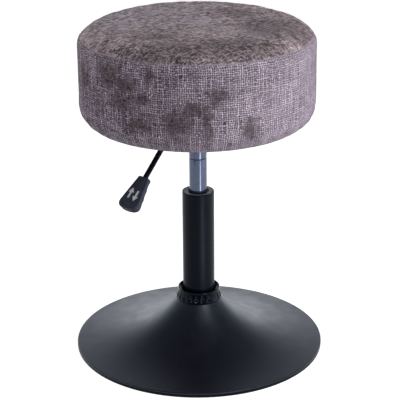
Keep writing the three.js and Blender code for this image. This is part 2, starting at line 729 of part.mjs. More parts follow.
function piston() {
  const bore = ROD_TOP_RADIUS + FIT_GAP;
  const outside = cylinderBore - FIT_GAP;
  const grooveHalf = PISTON_SEAL_HEIGHT / 2 + REST_GAP;
  const edge = 0.8;
  return turned(
    [
      [bore, pistonFootZ],
      [outside - edge, pistonFootZ],
      [outside, pistonFootZ + edge],
      [outside, pistonMiddleZ - grooveHalf],
      [outside - PISTON_GROOVE_DEPTH, pistonMiddleZ - grooveHalf],
      [outside - PISTON_GROOVE_DEPTH, pistonMiddleZ + grooveHalf],
      [outside, pistonMiddleZ + grooveHalf],
      [outside, pistonTopZ - edge],
      [outside - edge, pistonTopZ],
      [bore, pistonTopZ],
    ],
    TUBE_SIDES,
  );
}

function pistonSeal() {
  const half = PISTON_SEAL_HEIGHT / 2;
  const outside = cylinderBore - FIT_GAP / 2;
  const inside = cylinderBore - PISTON_GROOVE_DEPTH;
  return ring(inside, outside, pistonMiddleZ - half, pistonMiddleZ + half, TUBE_SIDES);
}

function pistonNut() {
  const footZ = pistonTopZ + REST_GAP;
  const bore = rod(ROD_TOP_RADIUS + FIT_GAP, footZ - PAST, rodTopZ + PAST, SMALL_SIDES);
  return cut(hexagon(PISTON_NUT_HEX, footZ, rodTopZ - SUNK), bore);
}

// Valve block in the top of the cylinder, bored for the release pin.
function valveBody() {
  const bore = PIN_RADIUS + FIT_GAP;
  const outside = cylinderBore - FIT_GAP;
  const pinTravel = 6;
  const boreFootZ = pinTopZ - PIN_LENGTH - pinTravel;
  const edge = 1;
  return turned(
    [
      [0, valveFootZ],
      [outside - edge, valveFootZ],
      [outside, valveFootZ + edge],
      [outside, valveTopZ],
      [bore, valveTopZ],
      [bore, boreFootZ],
      [0, boreFootZ],
    ],
    TUBE_SIDES,
  );
}

// Button with a domed top, so that the lever's tongue rolls on it.
function releasePin() {
  const footZ = pinTopZ - PIN_LENGTH;
  const edge = 0.5;
  return turned(
    [
      [0, footZ],
      [PIN_RADIUS - edge, footZ],
      [PIN_RADIUS, footZ + edge],
      ...arc([0, pinTopZ - PIN_DOME], { width: PIN_RADIUS, height: PIN_DOME }, 0, 90, 3),
    ],
    BOLT_SIDES,
  );
}

function addGasSpring() {
  const rodBore = ROD_RADIUS + FIT_GAP;
  const outside = cylinderBore - FIT_GAP;
  const guide = ring(rodBore, outside, guideFootZ, guideFootZ + GUIDE_HEIGHT, TUBE_SIDES);
  const seal = ring(rodBore, outside, sealFootZ, sealFootZ + ROD_SEAL_HEIGHT, TUBE_SIDES);
  place("gas_cylinder", gasCylinder(), paintedCylinder);
  place("valve_body", valveBody(), zincSteel);
  place("release_pin", releasePin(), chromedSteel);
  place("rod_guide", guide, greyPlastic);
  place("rod_seal", seal, blackRubber);
  place("piston_rod", pistonRod(), chromedSteel);
  place("piston", piston(), zincSteel);
  place("piston_seal", pistonSeal(), blackRubber);
  place("piston_nut", pistonNut(), zincSteel);
}

// ---------------------------------------------------------------- seat mechanism

const coneOutside = CYLINDER_RADIUS + CONE_WALL;

// Pressed plate: a square flange, a round pan with a floor, and a slot for the lever.
function seatPlate() {
  const floorFootZ = panFloorZ - PLATE_THICKNESS;
  const socketBore = coneOutside + FIT_GAP;
  const corner = PLATE_HALF_WIDTH * Math.SQRT2;
  const pressed = turned(
    [
      [socketBore, floorFootZ],
      [PAN_FLOOR_RADIUS, floorFootZ],
      [PAN_RADIUS, plateFlangeFootZ],
      [corner, plateFlangeFootZ],
      [corner, plateTopZ],
      [PAN_RADIUS - PLATE_THICKNESS, plateTopZ],
      [PAN_FLOOR_RADIUS - PLATE_THICKNESS, panFloorZ],
      [socketBore, panFloorZ],
    ],
    TUBE_SIDES,
  );
  const outline = roundedSquare(PLATE_HALF_WIDTH, PLATE_CORNER);
  const square = extruded(outline, floorFootZ - PAST, plateTopZ + PAST, 3);
  const holes = seatBoltPlaces.map(([x, y]) =>
    rod(SEAT_BOLT_RADIUS + HOLE_GAP, plateFlangeFootZ - PAST, plateTopZ + PAST, BOLT_SIDES, x, y),
  );
  const slotHalf = LEVER_ROD_RADIUS + LEVER_SLOT_GAP;
  const slot = box(
    [-PAN_RADIUS - PAST, -slotHalf, leverZ - slotHalf],
    [PLATE_THICKNESS - PAN_FLOOR_RADIUS + PAST, slotHalf, plateFlangeFootZ - SUNK],
  );
  return cut(common(pressed, square), ...holes, slot);
}

// Tapered socket welded into the pan's floor. It grips the cylinder's top.
function coneSocket() {
  const edge = 0.8;
  return turned(
    [
      [cylinderOutside(coneFootZ) + FIT_GAP, coneFootZ],
      [coneOutside - edge, coneFootZ],
      [coneOutside, coneFootZ + edge],
      [coneOutside, coneTopZ],
      [cylinderOutside(coneTopZ) + FIT_GAP, coneTopZ],
    ],
    TUBE_SIDES,
  );
}

// The bracket fills the space between the cone socket and the pan's wall.
const bracketInside = TONGUE_WIDTH / 2 + BRACKET_SIDE_GAP;
const bracketOutside = bracketInside + BRACKET_WALL;
const bracketCorner = PAN_FLOOR_RADIUS - PLATE_THICKNESS - BRACKET_PAN_GAP;
const bracketFar = Math.sqrt(bracketCorner ** 2 - bracketOutside ** 2);
const bracketNear = coneOutside + BRACKET_SOCKET_GAP;
const pivotReach = (bracketFar + bracketNear) / 2;
const pivotRadius = TONGUE_THICKNESS / 2 - PIVOT_EYE_WALL - FIT_GAP;

const pivotHole = (halfLength) => crossRod(pivotRadius + FIT_GAP, halfLength + PAST, -pivotReach, leverZ);

// Channel with two ears on the pan's floor. It carries the lever's pivot.
function leverBracket() {
  const footZ = panFloorZ + REST_GAP;
  const topZ = leverZ + BRACKET_EAR_TOP;
  const block = box([-bracketFar, -bracketOutside, footZ], [-bracketNear, bracketOutside, topZ]);
  const channelFoot = [-bracketFar - PAST, -bracketInside, footZ + BRACKET_WALL];
  const channel = box(channelFoot, [PAST - bracketNear, bracketInside, topZ + PAST]);
  return cut(block, channel, pivotHole(bracketOutside));
}

function pivotPin() {
  const headHalf = PIVOT_HEAD_THICKNESS / 2;
  const shank = crossRod(pivotRadius, bracketOutside + PIVOT_PROUD, -pivotReach, leverZ);
  const head = crossRod(pivotRadius + PIVOT_HEAD_STEP, headHalf, -pivotReach, leverZ);
  return joined(shank, head.translate(0, bracketOutside + REST_GAP + headHalf, 0));
}

// The lever's centre line runs level from the tongue, bends, and drops to the handle.
const dropAngle = THREE.MathUtils.degToRad(LEVER_DROP_ANGLE);
const dropDirection = new THREE.Vector3(-Math.cos(dropAngle), 0, -Math.sin(dropAngle));
const bendCorner = new THREE.Vector3(-LEVER_BEND_REACH, 0, leverZ);
const tongueReach = bracketFar + TONGUE_PAST_BRACKET;

const alongDrop = (distance) => bendCorner.clone().addScaledVector(dropDirection, distance);

// Curves joined end to end, each with an equal share of the steps whatever its length.
class JoinedCurve extends THREE.Curve {
  constructor(...curves) {
    super();
    this.curves = curves;
  }

  getPoint(t) {
    const along = t * this.curves.length;
    const index = Math.min(Math.floor(along), this.curves.length - 1);
    return this.curves[index].getPoint(along - index);
  }

  getUtoTmapping(u) {
    return u;
  }
}

// Round bar, flattened at its inner end into a tongue that lies on the release pin.
function leverRod() {
  const tangent = LEVER_BEND_RADIUS * Math.tan(dropAngle / 2);
  const bendStart = bendCorner.clone().setX(bendCorner.x + tangent);
  const inPan = new THREE.Vector3(-tongueReach + TONGUE_THICKNESS, 0, leverZ);
  const extrudePath = new JoinedCurve(
    new THREE.LineCurve3(inPan, bendStart),
    new THREE.QuadraticBezierCurve3(bendStart, bendCorner, alongDrop(tangent)),
    new THREE.LineCurve3(alongDrop(tangent), alongDrop(LEVER_DROP_LENGTH + HANDLE_GRIP_DEPTH)),
  );
  const section = new THREE.Shape().absarc(0, 0, LEVER_ROD_RADIUS, 0, 2 * Math.PI, false);
  const bar = new THREE.ExtrudeGeometry(section, { steps: 12, curveSegments: 5, extrudePath });
  const half = TONGUE_THICKNESS / 2;
  const tongueShape = slotShape(-tongueReach, TONGUE_PAST_AXIS, TONGUE_WIDTH);
  const tongue = extruded(tongueShape, leverZ - half, leverZ + half, 4);
  return cut(joined(bar, tongue), pivotHole(TONGUE_WIDTH / 2));
}

// The handle's outline: straight flanks from the neck, then a shallow round end.
function handleShape() {
  const neck = HANDLE_NECK_WIDTH / 2;
  const wide = HANDLE_WIDTH / 2;
  const flank = HANDLE_LENGTH - HANDLE_SHOULDER;
  const pull = HANDLE_LENGTH - 0.15 * HANDLE_SHOULDER;
  const shape = new THREE.Shape();
  shape.moveTo(0, -neck);
  shape.lineTo(flank, -wide);
  shape.bezierCurveTo(pull, -wide, HANDLE_LENGTH, -0.6 * wide, HANDLE_LENGTH, 0);
  shape.bezierCurveTo(HANDLE_LENGTH, 0.6 * wide, pull, wide, flank, wide);
  shape.lineTo(0, neck);
  return shape;
}

// Moulded paddle, thicker towards its end, with hollows for the fingers underneath.
function leverHandle() {
  const settings = {
    depth: HANDLE_THICKNESS - 2 * HANDLE_EDGE,
    steps: 1,
    curveSegments: 5,
    bevelEnabled: true,
    bevelThickness: HANDLE_EDGE,
    bevelSize: HANDLE_EDGE,
    bevelOffset: -HANDLE_EDGE,
    bevelSegments: 2,
  };
  const paddle = new THREE.ExtrudeGeometry(handleShape(), settings);
  paddle.translate(0, 0, HANDLE_EDGE - HANDLE_THICKNESS / 2);
  const points = paddle.getAttribute("position");
  for (let i = 0; i < points.count; i++) {
    const thickness = THREE.MathUtils.mapLinear(
      points.getX(i), 0, HANDLE_LENGTH, HANDLE_NECK_THICKNESS, HANDLE_THICKNESS,
    );
    points.setZ(i, (points.getZ(i) * thickness) / HANDLE_THICKNESS);
  }
  // The finger hollows run across the underside, which faces +Z until the handle is turned.
  const hollowZ = HANDLE_THICKNESS / 2 + FINGER_RADIUS - FINGER_DEPTH;
  const hollows = Array.from({ length: FINGER_COUNT }, (_, i) =>
    crossRod(FINGER_RADIUS, HANDLE_WIDTH, FINGER_START + i * FINGER_PITCH, hollowZ, 28),
  );
  const bore = rod(LEVER_ROD_RADIUS + FIT_GAP, -PAST, HANDLE_GRIP_DEPTH + REST_GAP, 12);
  const neck = alongDrop(LEVER_DROP_LENGTH);
  return cut(paddle, ...hollows, bore.rotateY(Math.PI / 2))
    .rotateY(Math.PI - dropAngle)
    .translate(neck.x, neck.y, neck.z);
}

function addMechanism() {
  place("seat_plate", seatPlate(), blackPaint);
  place("cone_socket", coneSocket(), blackPaint);
  place("lever_bracket", leverBracket(), zincSteel);
  place("pivot_pin", pivotPin(), zincSteel);
  place("lever_rod", leverRod(), blackPaint);
  place("lever_handle", leverHandle(), blackPlastic);
}

// ---------------------------------------------------------------- seat

const smaller = (round, inset) => ({
  width: round.width - inset,
  height: round.height - inset,
  fullness: round.fullness,
});

// Half section of the padded drum, from its underside up to the axis, shrunk by an inset.
function drumSection(inset, underside) {
  const r = SEAT_RADIUS - inset;
  const footZ = seatFootZ + inset;
  const edgeZ = seatFootZ + SEAT_HEIGHT - CROWN - inset;
  const foot = smaller(FOOT_ROUND, inset);
  const top = smaller(TOP_ROUND, inset);
  const flatRadius = r - top.width;
  const crown = [0.5, 0].map((share) => [
    flatRadius * share,
    edgeZ + CROWN * (1 - share ** 2) ** 2,
  ]);
  return [
    ...underside,
    ...arc([r - foot.width, footZ + foot.height], foot, -90, 0, 4),
    ...arc([flatRadius, edgeZ - top.height], top, 0, 90, 4),
    ...crown,
  ];
}

// Fabric skin, open underneath where it is turned in over the board.
function seatCover() {
  const outside = drumSection(0, [[hemInner, seatFootZ]]);
  const inside = drumSection(COVER_THICKNESS, [[hemInner, seatFootZ + COVER_THICKNESS]]);
  return turned([...inside.reverse(), ...outside], SEAT_SIDES);
}

// Foam block, rebated underneath for the board.
function foamPad() {
  const inset = COVER_THICKNESS + REST_GAP;
  const rebate = boardRadius + REST_GAP;
  const rebateZ = boardTopZ + REST_GAP;
  return turned(
    drumSection(inset, [[0, rebateZ], [rebate, rebateZ], [rebate, seatFootZ + inset]]),
    SEAT_SIDES,
  );
}

// Plywood disc, drilled and recessed for the T-nuts.
function seatBoard() {
  const disc = turned(
    [
      [0, boardFootZ],
      [boardRadius - BOARD_ROUND, boardFootZ],
      [boardRadius, boardFootZ + BOARD_ROUND],
      [boardRadius, boardTopZ - BOARD_ROUND],
      [boardRadius - BOARD_ROUND, boardTopZ],
      [0, boardTopZ],
    ],
    SEAT_SIDES,
  );
  const recessZ = boardTopZ - T_NUT_FLANGE_THICKNESS - REST_GAP;
  const holes = seatBoltPlaces.flatMap(([x, y]) => [
    rod(T_NUT_BARREL + HOLE_GAP, boardFootZ - PAST, boardTopZ + PAST, BOLT_SIDES, x, y),
    rod(T_NUT_FLANGE + HOLE_GAP, recessZ, boardTopZ + PAST, BOLT_SIDES, x, y),
  ]);
  return cut(disc, ...holes);
}

// Nut with a barrel in the board and a round flange on top.
function tNut([x, y]) {
  const bore = SEAT_BOLT_RADIUS + FIT_GAP;
  const flangeFootZ = boardTopZ - T_NUT_FLANGE_THICKNESS;
  const barrelFootZ = flangeFootZ - T_NUT_BARREL_LENGTH;
  return turned(
    [
      [bore, barrelFootZ],
      [T_NUT_BARREL, barrelFootZ],
      [T_NUT_BARREL, flangeFootZ],
      [T_NUT_FLANGE, flangeFootZ],
      [T_NUT_FLANGE, boardTopZ],
      [bore, boardTopZ],
    ],
    BOLT_SIDES,
  ).translate(x, y, 0);
}

// Hexagon bolt with a flange under its head, screwed up through the plate.
function seatBolt([x, y]) {
  const flangeTopZ = plateFlangeFootZ - REST_GAP;
  const flangeFootZ = flangeTopZ - SEAT_BOLT_FLANGE_THICKNESS;
  return joined(
    hexagon(SEAT_BOLT_HEX, flangeTopZ - SEAT_BOLT_HEAD, flangeFootZ + SUNK, x, y),
    rod(SEAT_BOLT_FLANGE, flangeFootZ, flangeTopZ, BOLT_SIDES, x, y),
    rod(SEAT_BOLT_RADIUS, flangeTopZ - SUNK, boardTopZ - REST_GAP, BOLT_SIDES, x, y),
  );
}

// Black cloth over the board. It steps down over the turned-in edge of the cover.
function dustCover() {
  const t = DUST_COVER_THICKNESS;
  const hemZ = seatFootZ - REST_GAP - t;
  const foldOuter = hemInner - REST_GAP - t;
  const foldInner = foldOuter - DUST_COVER_FOLD;
  const cloth = turned(
    [
      [0, dustCoverZ],
      [foldInner, dustCoverZ],
      [foldOuter, hemZ],
      [dustCoverRadius, hemZ],
      [dustCoverRadius, hemZ + t],
      [foldOuter + t / 2, hemZ + t],
      [foldInner + t / 2, dustCoverZ + t],
      [0, dustCoverZ + t],
    ],
    SEAT_SIDES,
  );
  const holes = seatBoltPlaces.map(([x, y]) =>
    rod(SEAT_BOLT_RADIUS + HOLE_GAP, dustCoverZ - PAST, dustCoverZ + t + PAST, BOLT_SIDES, x, y),
  );
  return cut(cloth, ...holes);
}

function addSeat() {
  place("seat_board", seatBoard(), plywood);
  seatBoltPlaces.forEach((at, i) => {
    place(`t_nut_${i + 1}`, tNut(at), zincSteel);
    place(`seat_bolt_${i + 1}`, seatBolt(at), zincSteel);
  });
  place("foam_pad", foamPad(), foam);
  place("seat_cover", seatCover(), chenille);
  place("dust_cover", dustCover(), blackCloth);
}

addBase();
addColumn();
addGasSpring();
addMechanism();
addSeat();

export default stool;
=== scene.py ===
"""Adjustable swivel stool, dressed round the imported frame.

Metres, +Z up, in the frame of the CAD model: the origin is on the floor under the middle of the
base, and the release lever points along -X.
"""

import json
from math import atan, atan2, copysign, cos, exp, hypot, pi, radians, sin, sqrt, tan

import bmesh
import bpy
import mathutils
from mathutils import Matrix, Vector


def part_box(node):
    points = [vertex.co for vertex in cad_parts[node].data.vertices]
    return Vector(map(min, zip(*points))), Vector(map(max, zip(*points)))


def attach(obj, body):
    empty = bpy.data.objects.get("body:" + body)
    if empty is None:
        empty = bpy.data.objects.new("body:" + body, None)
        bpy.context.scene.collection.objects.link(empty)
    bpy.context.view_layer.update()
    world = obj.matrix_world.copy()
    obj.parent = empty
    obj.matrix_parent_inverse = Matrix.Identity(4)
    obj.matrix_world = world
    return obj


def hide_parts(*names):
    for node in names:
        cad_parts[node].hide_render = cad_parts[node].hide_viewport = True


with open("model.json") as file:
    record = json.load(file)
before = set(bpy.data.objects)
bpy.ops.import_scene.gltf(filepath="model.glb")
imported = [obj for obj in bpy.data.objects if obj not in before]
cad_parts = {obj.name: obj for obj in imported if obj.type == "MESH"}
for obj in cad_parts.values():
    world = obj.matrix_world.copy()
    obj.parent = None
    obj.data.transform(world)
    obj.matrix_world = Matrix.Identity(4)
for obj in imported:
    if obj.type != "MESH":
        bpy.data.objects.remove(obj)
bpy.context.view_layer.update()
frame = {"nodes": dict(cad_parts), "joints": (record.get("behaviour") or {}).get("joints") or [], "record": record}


def extent(node):
    """The reach of a CAD node along +X, its foot and its top."""
    low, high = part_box(node)
    return high.x, low.z, high.z


# ---- sizes that pieces share

BASE_RADIUS, RIM_FOOT, NECK_HEIGHT = extent("base_shell")
SHELL_WALL = 0.0016
HUB_BORE = 0.0302  # of the pieces that sit on the hub
TUBE_RADIUS, TUBE_FOOT, TUBE_TOP = extent("gas_cylinder")
CONE_DROP = 0.0008  # how much narrower the cylinder's tapered end gets
SOCKET_RADIUS, SOCKET_FOOT, SOCKET_TOP = extent("cone_socket")
PLATE_REACH, PLATE_FOOT, PLATE_TOP = extent("seat_plate")

# Release lever and its handle
LEVER_HEIGHT = next(j for j in frame["joints"] if j["name"] == "lever_lift")["pos_m"][2]
BAR_RADIUS = 0.0035
BEND_REACH = 0.0689  # from the stool's axis to the corner of the bend
DROP_ANGLE = radians(43)  # below the horizontal
DROP_LENGTH = 0.0755  # from the corner of the bend to the handle
TONGUE_HALF = 0.006  # half its width, and how far it passes the stool's axis
HANDLE_LENGTH = 0.0575
HANDLE_DEPTH = 0.013

# Seat
SEAT_RADIUS, SEAT_FOOT, SEAT_TOP = extent("seat_cover")
BOARD_RADIUS, _, BOARD_TOP = extent("seat_board")
HEM_INNER = BOARD_RADIUS - 0.015
CROWN = 0.007
TOP_ROUND = (0.035, 0.026, 1.65)  # width, height and fullness of its upper edge
FOOT_ROUND = (0.028, 0.038, 2.3)
SEAM_HEIGHT = SEAT_TOP - 0.0247  # between the top panel and the side band
COVER_THICKNESS = 0.0016
COVER_CELL = 0.0052
SEAM_CELL = 0.0026
SINK_LIMIT = 0.0016  # how far the foam lets the cover sink
CLOTH_RADIUS, CLOTH_FOOT, CLOTH_TOP = extent("dust_cover")
STAPLE_COUNT = 40

# The camera's way round the stool, along the floor
AZIMUTH = radians(-50)
RIGHT = Vector((cos(AZIMUTH), sin(AZIMUTH), 0))
AWAY = Vector((-sin(AZIMUTH), cos(AZIMUTH), 0))
UP = Vector((0, 0, 1))

# Sides of round pieces
FINE = 192
MEDIUM = 96

# ---- shapes


def spaced(low, high, count):
    """Numbers from low to high, both included."""
    return [low + (high - low) * i / count for i in range(count + 1)]


def shares(count):
    return spaced(0, 1, count)


def way_round(sides):
    """The angles of a regular polygon's corners."""
    return [2 * pi * side / sides for side in range(sides)]


def progress(value, low, high):
    """How far a value is from low to high, kept between 0 and 1."""
    return min(max((value - low) / (high - low), 0), 1)


def ease(share):
    return share * share * (3 - 2 * share)


def bezier(t, *points):
    """The point at t on the curve that the points steer."""
    while len(points) > 1:
        points = [before.lerp(after, t) for before, after in zip(points, points[1:])]
    return points[0]


def fillet(corners, steps):
    """Rounds an outline of (across, up, radius) corners. A radius of 0 stays sharp."""
    points = []
    for i, (across, up, radius) in enumerate(corners):
        here = Vector((across, up))
        before = Vector(corners[i - 1][:2]) - here
        after = Vector(corners[(i + 1) % len(corners)][:2]) - here
        reach = min(radius, 0.49 * before.length, 0.49 * after.length)
        start = here + before.normalized() * reach
        end = here + after.normalized() * reach
        turn = [bezier(t, start, here, end) for t in shares(steps)]
        points += turn if radius else [here]
    return [tuple(point) for point in points]


def on_circle(angle, power=1.0):
    """A point of the unit circle, which a power below 1 makes squarer."""
    return [copysign(abs(value) ** power, value) for value in (cos(angle), sin(angle))]


def round_edge(centre, edge, start, end, steps):
    """Points of a rounded edge between two angles in degrees. Fullness 2 is an ellipse."""
    width, height, fullness = edge
    arc = [on_circle(radians(a), 2 / fullness) for a in spaced(start, end, steps)]
    return [(centre[0] + width * x, centre[1] + height * y) for x, y in arc]


def mesh_of(points, faces):
    mesh = bpy.data.meshes.new("mesh")
    mesh.from_pydata([tuple(point) for point in points], [], faces)
    return mesh


def band(here, there, count):
    """Faces between two rings of points that start at these numbers."""
    pairs = [(i, (i + 1) % count) for i in range(count)]
    return [(here + i, here + j, there + j, there + i) for i, j in pairs]


def turned(outline, sides):
    """A mesh of revolution from a closed outline of (radius, height)."""
    count = len(outline)
    points = [(r * cos(a), r * sin(a), z) for a in way_round(sides) for r, z in outline]
    faces = [f for i in range(sides) for f in band(i * count, (i + 1) % sides * count, count)]
    return mesh_of(points, faces)


def skin(*shells):
    """A mesh of closed shells, each a row of rings of points with faces on its ends."""
    points, faces = [], []
    for rings in shells:
        first, count = len(points), len(rings[0])
        points += [point for ring in rings for point in ring]
        last = len(points) - count
        for here in range(first, last, count):
            faces += band(here, here + count, count)
        faces += [tuple(range(first, first + count))[::-1], tuple(range(last, last + count))]
    return mesh_of(points, faces)


def prism(outline, foot, top):
    """Block over an outline of (x, y) points."""
    return skin([[(x, y, z) for x, y in outline] for z in (foot, top)])


def rounded_box(half_x, half_y, corner):
    outline = []
    for start, sx, sy in ((0, 1, 1), (90, -1, 1), (180, -1, -1), (270, 1, -1)):
        for angle in map(radians, spaced(start, start + 90, 8)):
            x = sx * (half_x - corner) + corner * cos(angle)
            outline.append((x, sy * (half_y - corner) + corner * sin(angle)))
    return outline


def configured(thing, **settings):
    for key, value in settings.items():
        setattr(thing, key, value)
    return thing


def placed(name, data):
    thing = bpy.data.objects.new(name, data)
    bpy.context.collection.objects.link(thing)
    return thing


def settled(piece):
    """Bakes the modifiers of a piece into its mesh."""
    shaped = piece.evaluated_get(bpy.context.evaluated_depsgraph_get())
    mesh = bpy.data.meshes.new_from_object(shaped)
    piece.modifiers.clear()
    piece.data = mesh
    return mesh


def modified(piece, kind, **settings):
    configured(piece.modifiers.new("modifier", kind), **settings)
    return settled(piece)


def cut(mesh, cutter, operation="DIFFERENCE"):
    """The mesh after a boolean with a cutter mesh."""
    piece, tool = placed("work", mesh), placed("tool", cutter)
    result = modified(piece, "BOOLEAN", operation=operation, object=tool, solver="EXACT")
    bpy.data.objects.remove(piece)
    bpy.data.objects.remove(tool)
    return result


def soft_noise(point, scale, seed):
    return mathutils.noise.noise(Vector(point) * scale + Vector((seed, 2.3 * seed, -seed)))


def pushed(mesh, push):
    """The mesh with each point moved out by push(radius, angle, height)."""
    for vertex in mesh.vertices:
        radius = vertex.co.xy.length
        move = push(radius, atan2(vertex.co.y, vertex.co.x), vertex.co.z)
        if move:
            vertex.co.xy *= 1 + move / radius
    return mesh


def coat(mesh, look):
    mesh.materials.clear()
    mesh.materials.append(FINISHES[look])


def finished(name, mesh, look, body, node=None, crease=35):
    """Makes a mesh into a piece: smooth with sharp creases, coated, and riding on its body."""
    cleaner = bmesh.new()
    cleaner.from_mesh(mesh)
    bmesh.ops.remove_doubles(cleaner, verts=cleaner.verts, dist=1e-7)
    bmesh.ops.dissolve_degenerate(cleaner, edges=cleaner.edges, dist=1e-7)
    bmesh.ops.recalc_face_normals(cleaner, faces=cleaner.faces)
    cleaner.to_mesh(mesh)
    cleaner.free()
    mesh.name = name
    mesh.shade_smooth()
    mesh.set_sharp_from_angle(angle=radians(crease))
    coat(mesh, look)
    piece = placed(name, mesh)
    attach(piece, body)
    if node:
        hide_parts(node)
    return piece


def add_turned(name, corners, steps, sides, look, body, node):
    finished(name, turned(fillet(corners, steps), sides), look, body, node)


def refinish(piece, look, chosen):
    """A second finish for the faces that are chosen by their middle and normal."""
    piece.data.materials.append(FINISHES[look])
    for face in piece.data.polygons:
        if chosen(face.center, face.normal):
            face.material_index = 1


# ---- finishes


def operator(operation):
    return lambda self, other: calc(operation, self, other)


class Field:
    """A value that a shader works out at each point, with its arithmetic."""

    tree = None  # the node tree that is being built
    __add__, __sub__, __pow__ = map(operator, ("ADD", "SUBTRACT", "POWER"))
    __mul__, __truediv__ = map(operator, ("MULTIPLY", "DIVIDE"))

    def __init__(self, socket):
        self.socket = socket

    def __rsub__(self, other):
        return calc("SUBTRACT", other, self)

    def __abs__(self):
        return calc("ABSOLUTE", self)


def feed(node, inputs):
    """Links fields to the inputs of a shader node, and sets the plain values."""
    for key, value in inputs.items():
        if isinstance(value, Field):
            Field.tree.links.new(value.socket, node.inputs[key])
        else:
            node.inputs[key].default_value = value


def shade(kind, inputs, output=0, **settings):
    """Adds a shader node and gives one of its outputs."""
    made = configured(Field.tree.nodes.new("ShaderNode" + kind), **settings)
    feed(made, inputs)
    return Field(made.outputs[output]) if made.outputs else made


def calc(operation, *values):
    return shade("Math", dict(enumerate(values)), operation=operation)


def blend(share, low, high):
    """A mix of two numbers."""
    return shade("Mix", {0: share, 2: low, 3: high}, data_type="FLOAT")


def tint(share, low, high):
    """A mix of two colours."""
    return shade("Mix", {0: share, 6: low, 7: high}, output=2, data_type="RGBA")


def spread(value, low, high, to_low=0.0, to_high=1.0, smooth=False):
    inputs = {0: value, 1: low, 2: high, 3: to_low, 4: to_high}
    kind = "SMOOTHSTEP" if smooth else "LINEAR"
    return shade("MapRange", inputs, interpolation_type=kind, clamp=True)


def noise(place, scale, detail=2.0, roughness=0.5, output=0):
    inputs = {"Vector": place, "Scale": scale, "Detail": detail, "Roughness": roughness}
    return shade("TexNoise", inputs, output)


def stretched(place, *scale):
    return shade("VectorMath", {0: place, 1: scale}, operation="MULTIPLY")


def on_piece():
    """Places on the piece in mm, so that a finish moves with it."""
    return stretched(shade("TexCoord", {}, output="Object"), 1000.0, 1000.0, 1000.0)


def axes(place):
    return [shade("SeparateXYZ", {0: place}, output=i) for i in range(3)]


def vector(x, y, z):
    return shade("CombineXYZ", {0: x, 1: y, 2: z})


def moved(place, way):
    return shade("VectorMath", {0: place, 1: way}, operation="ADD")


def higher(first, second):
    return calc("MAXIMUM", first, second)


def rgb(red, green, blue):
    """A colour from 0 to 255 as it is seen on a screen."""
    def linear(value):
        value /= 255
        return value / 12.92 if value <= 0.04045 else ((value + 0.055) / 1.055) ** 2.4

    return (linear(red), linear(green), linear(blue), 1.0)


def dress(color, roughness, relief, depth, strength, **others):
    """Feeds the surface. The depth of its relief is in metres."""
    bump = shade("Bump", {"Strength": strength, "Distance": depth, "Height": relief})
    inputs = {"Base Color": color, "Roughness": roughness, "Normal": bump, **others}
    feed(Field.tree.nodes["Principled BSDF"], inputs)


COOL_GLOSS = (0.76, 0.84, 1.0, 1.0)  # the slightly blue shine of the black finishes


def gloss(specular):
    return {"Specular IOR Level": specular, "Specular Tint": COOL_GLOSS}


def painted(dark, light, roughness, specular):
    """Satin powder coat: a fine orange peel and faint dust."""
    place = on_piece()
    cloud = noise(place, 0.05, 4)
    color = tint(spread(cloud, 0.35, 0.7), dark, light)
    rough = spread(cloud, 0.3, 0.7, roughness - 0.03, roughness + 0.05)
    dress(color, rough, noise(place, 0.9, 3), 0.00004, 0.35, **gloss(specular))


def plastic(dark, light, roughness, specular=0.5):
    """Moulded plastic with a fine spark-eroded grain."""
    place = on_piece()
    grain = noise(place, 3.5, 2)
    color = tint(spread(noise(place, 0.15, 3), 0.35, 0.7), dark, light)
    rough = spread(grain, 0.3, 0.7, roughness - 0.04, roughness + 0.06)
    dress(color, rough, grain, 0.00003, 0.5, **gloss(specular))


def rubber():
    place = on_piece()
    grain = noise(place, 2.2, 4)
    color = tint(spread(noise(place, 0.08, 3), 0.4, 0.75), rgb(18, 18, 20), rgb(34, 34, 37))
    dress(color, spread(grain, 0.3, 0.7, 0.7, 0.9), grain, 0.00006, 0.6)


def metal(dark, light, roughness, brushing, metallic=1.0):
    """Metal with fine marks, which brushing stretches along the axes."""
    place = on_piece()
    marks = noise(stretched(place, *brushing), 1.0, 4, 0.6)
    color = tint(spread(noise(place, 0.12, 3), 0.3, 0.7), dark, light)
    rough = spread(marks, 0.3, 0.7, roughness - 0.06, roughness + 0.08)
    dress(color, rough, marks, 0.00001, 0.3, Metallic=metallic)


def wood():
    """Birch plywood: long grain on the faces and layers at the edge."""
    place = on_piece()
    grain = noise(stretched(place, 0.02, 0.5, 0.5), 1.0, 6, 0.6)
    layers = noise(stretched(place, 0.01, 0.01, 0.7), 1.0, 1)
    face = tint(spread(grain, 0.3, 0.7), rgb(186, 152, 106), rgb(221, 193, 150))
    color = tint(spread(layers, 0.45, 0.55, 0.0, 0.35), face, rgb(140, 104, 66))
    dress(color, spread(grain, 0.2, 0.8, 0.6, 0.8), grain, 0.0001, 0.5)


def foam_rubber():
    cells = shade("TexVoronoi", {"Vector": on_piece(), "Scale": 0.9})
    color = tint(spread(cells, 0.1, 0.7), rgb(196, 184, 142), rgb(232, 224, 190))
    dress(color, spread(cells, 0.0, 1.0, 0.9, 1.0), cells, 0.0004, 0.8)


def bonded_cloth():
    """Thin non-woven cloth, point-bonded in a square pattern."""
    place = on_piece()
    waves = [calc("SINE", axis * (pi / 1.1)) for axis in axes(place)[:2]]
    fibres = noise(place, 1.5, 4, 0.7)
    pressed = spread(abs(waves[0] * waves[1]), 0.55, 0.9)
    color = tint(fibres, rgb(20, 20, 22), rgb(58, 58, 62))
    color = tint(pressed * 0.5, color, rgb(14, 14, 15))
    dress(color, spread(fibres, 0.3, 0.7, 0.8, 0.95), fibres - pressed, 0.0001, 0.8)


THREADS_AROUND = 348
THREAD_PITCH = 3.3  # mm
SEAM_MM = SEAM_HEIGHT * 1000
BAND_RADIUS = SEAT_RADIUS * 1000

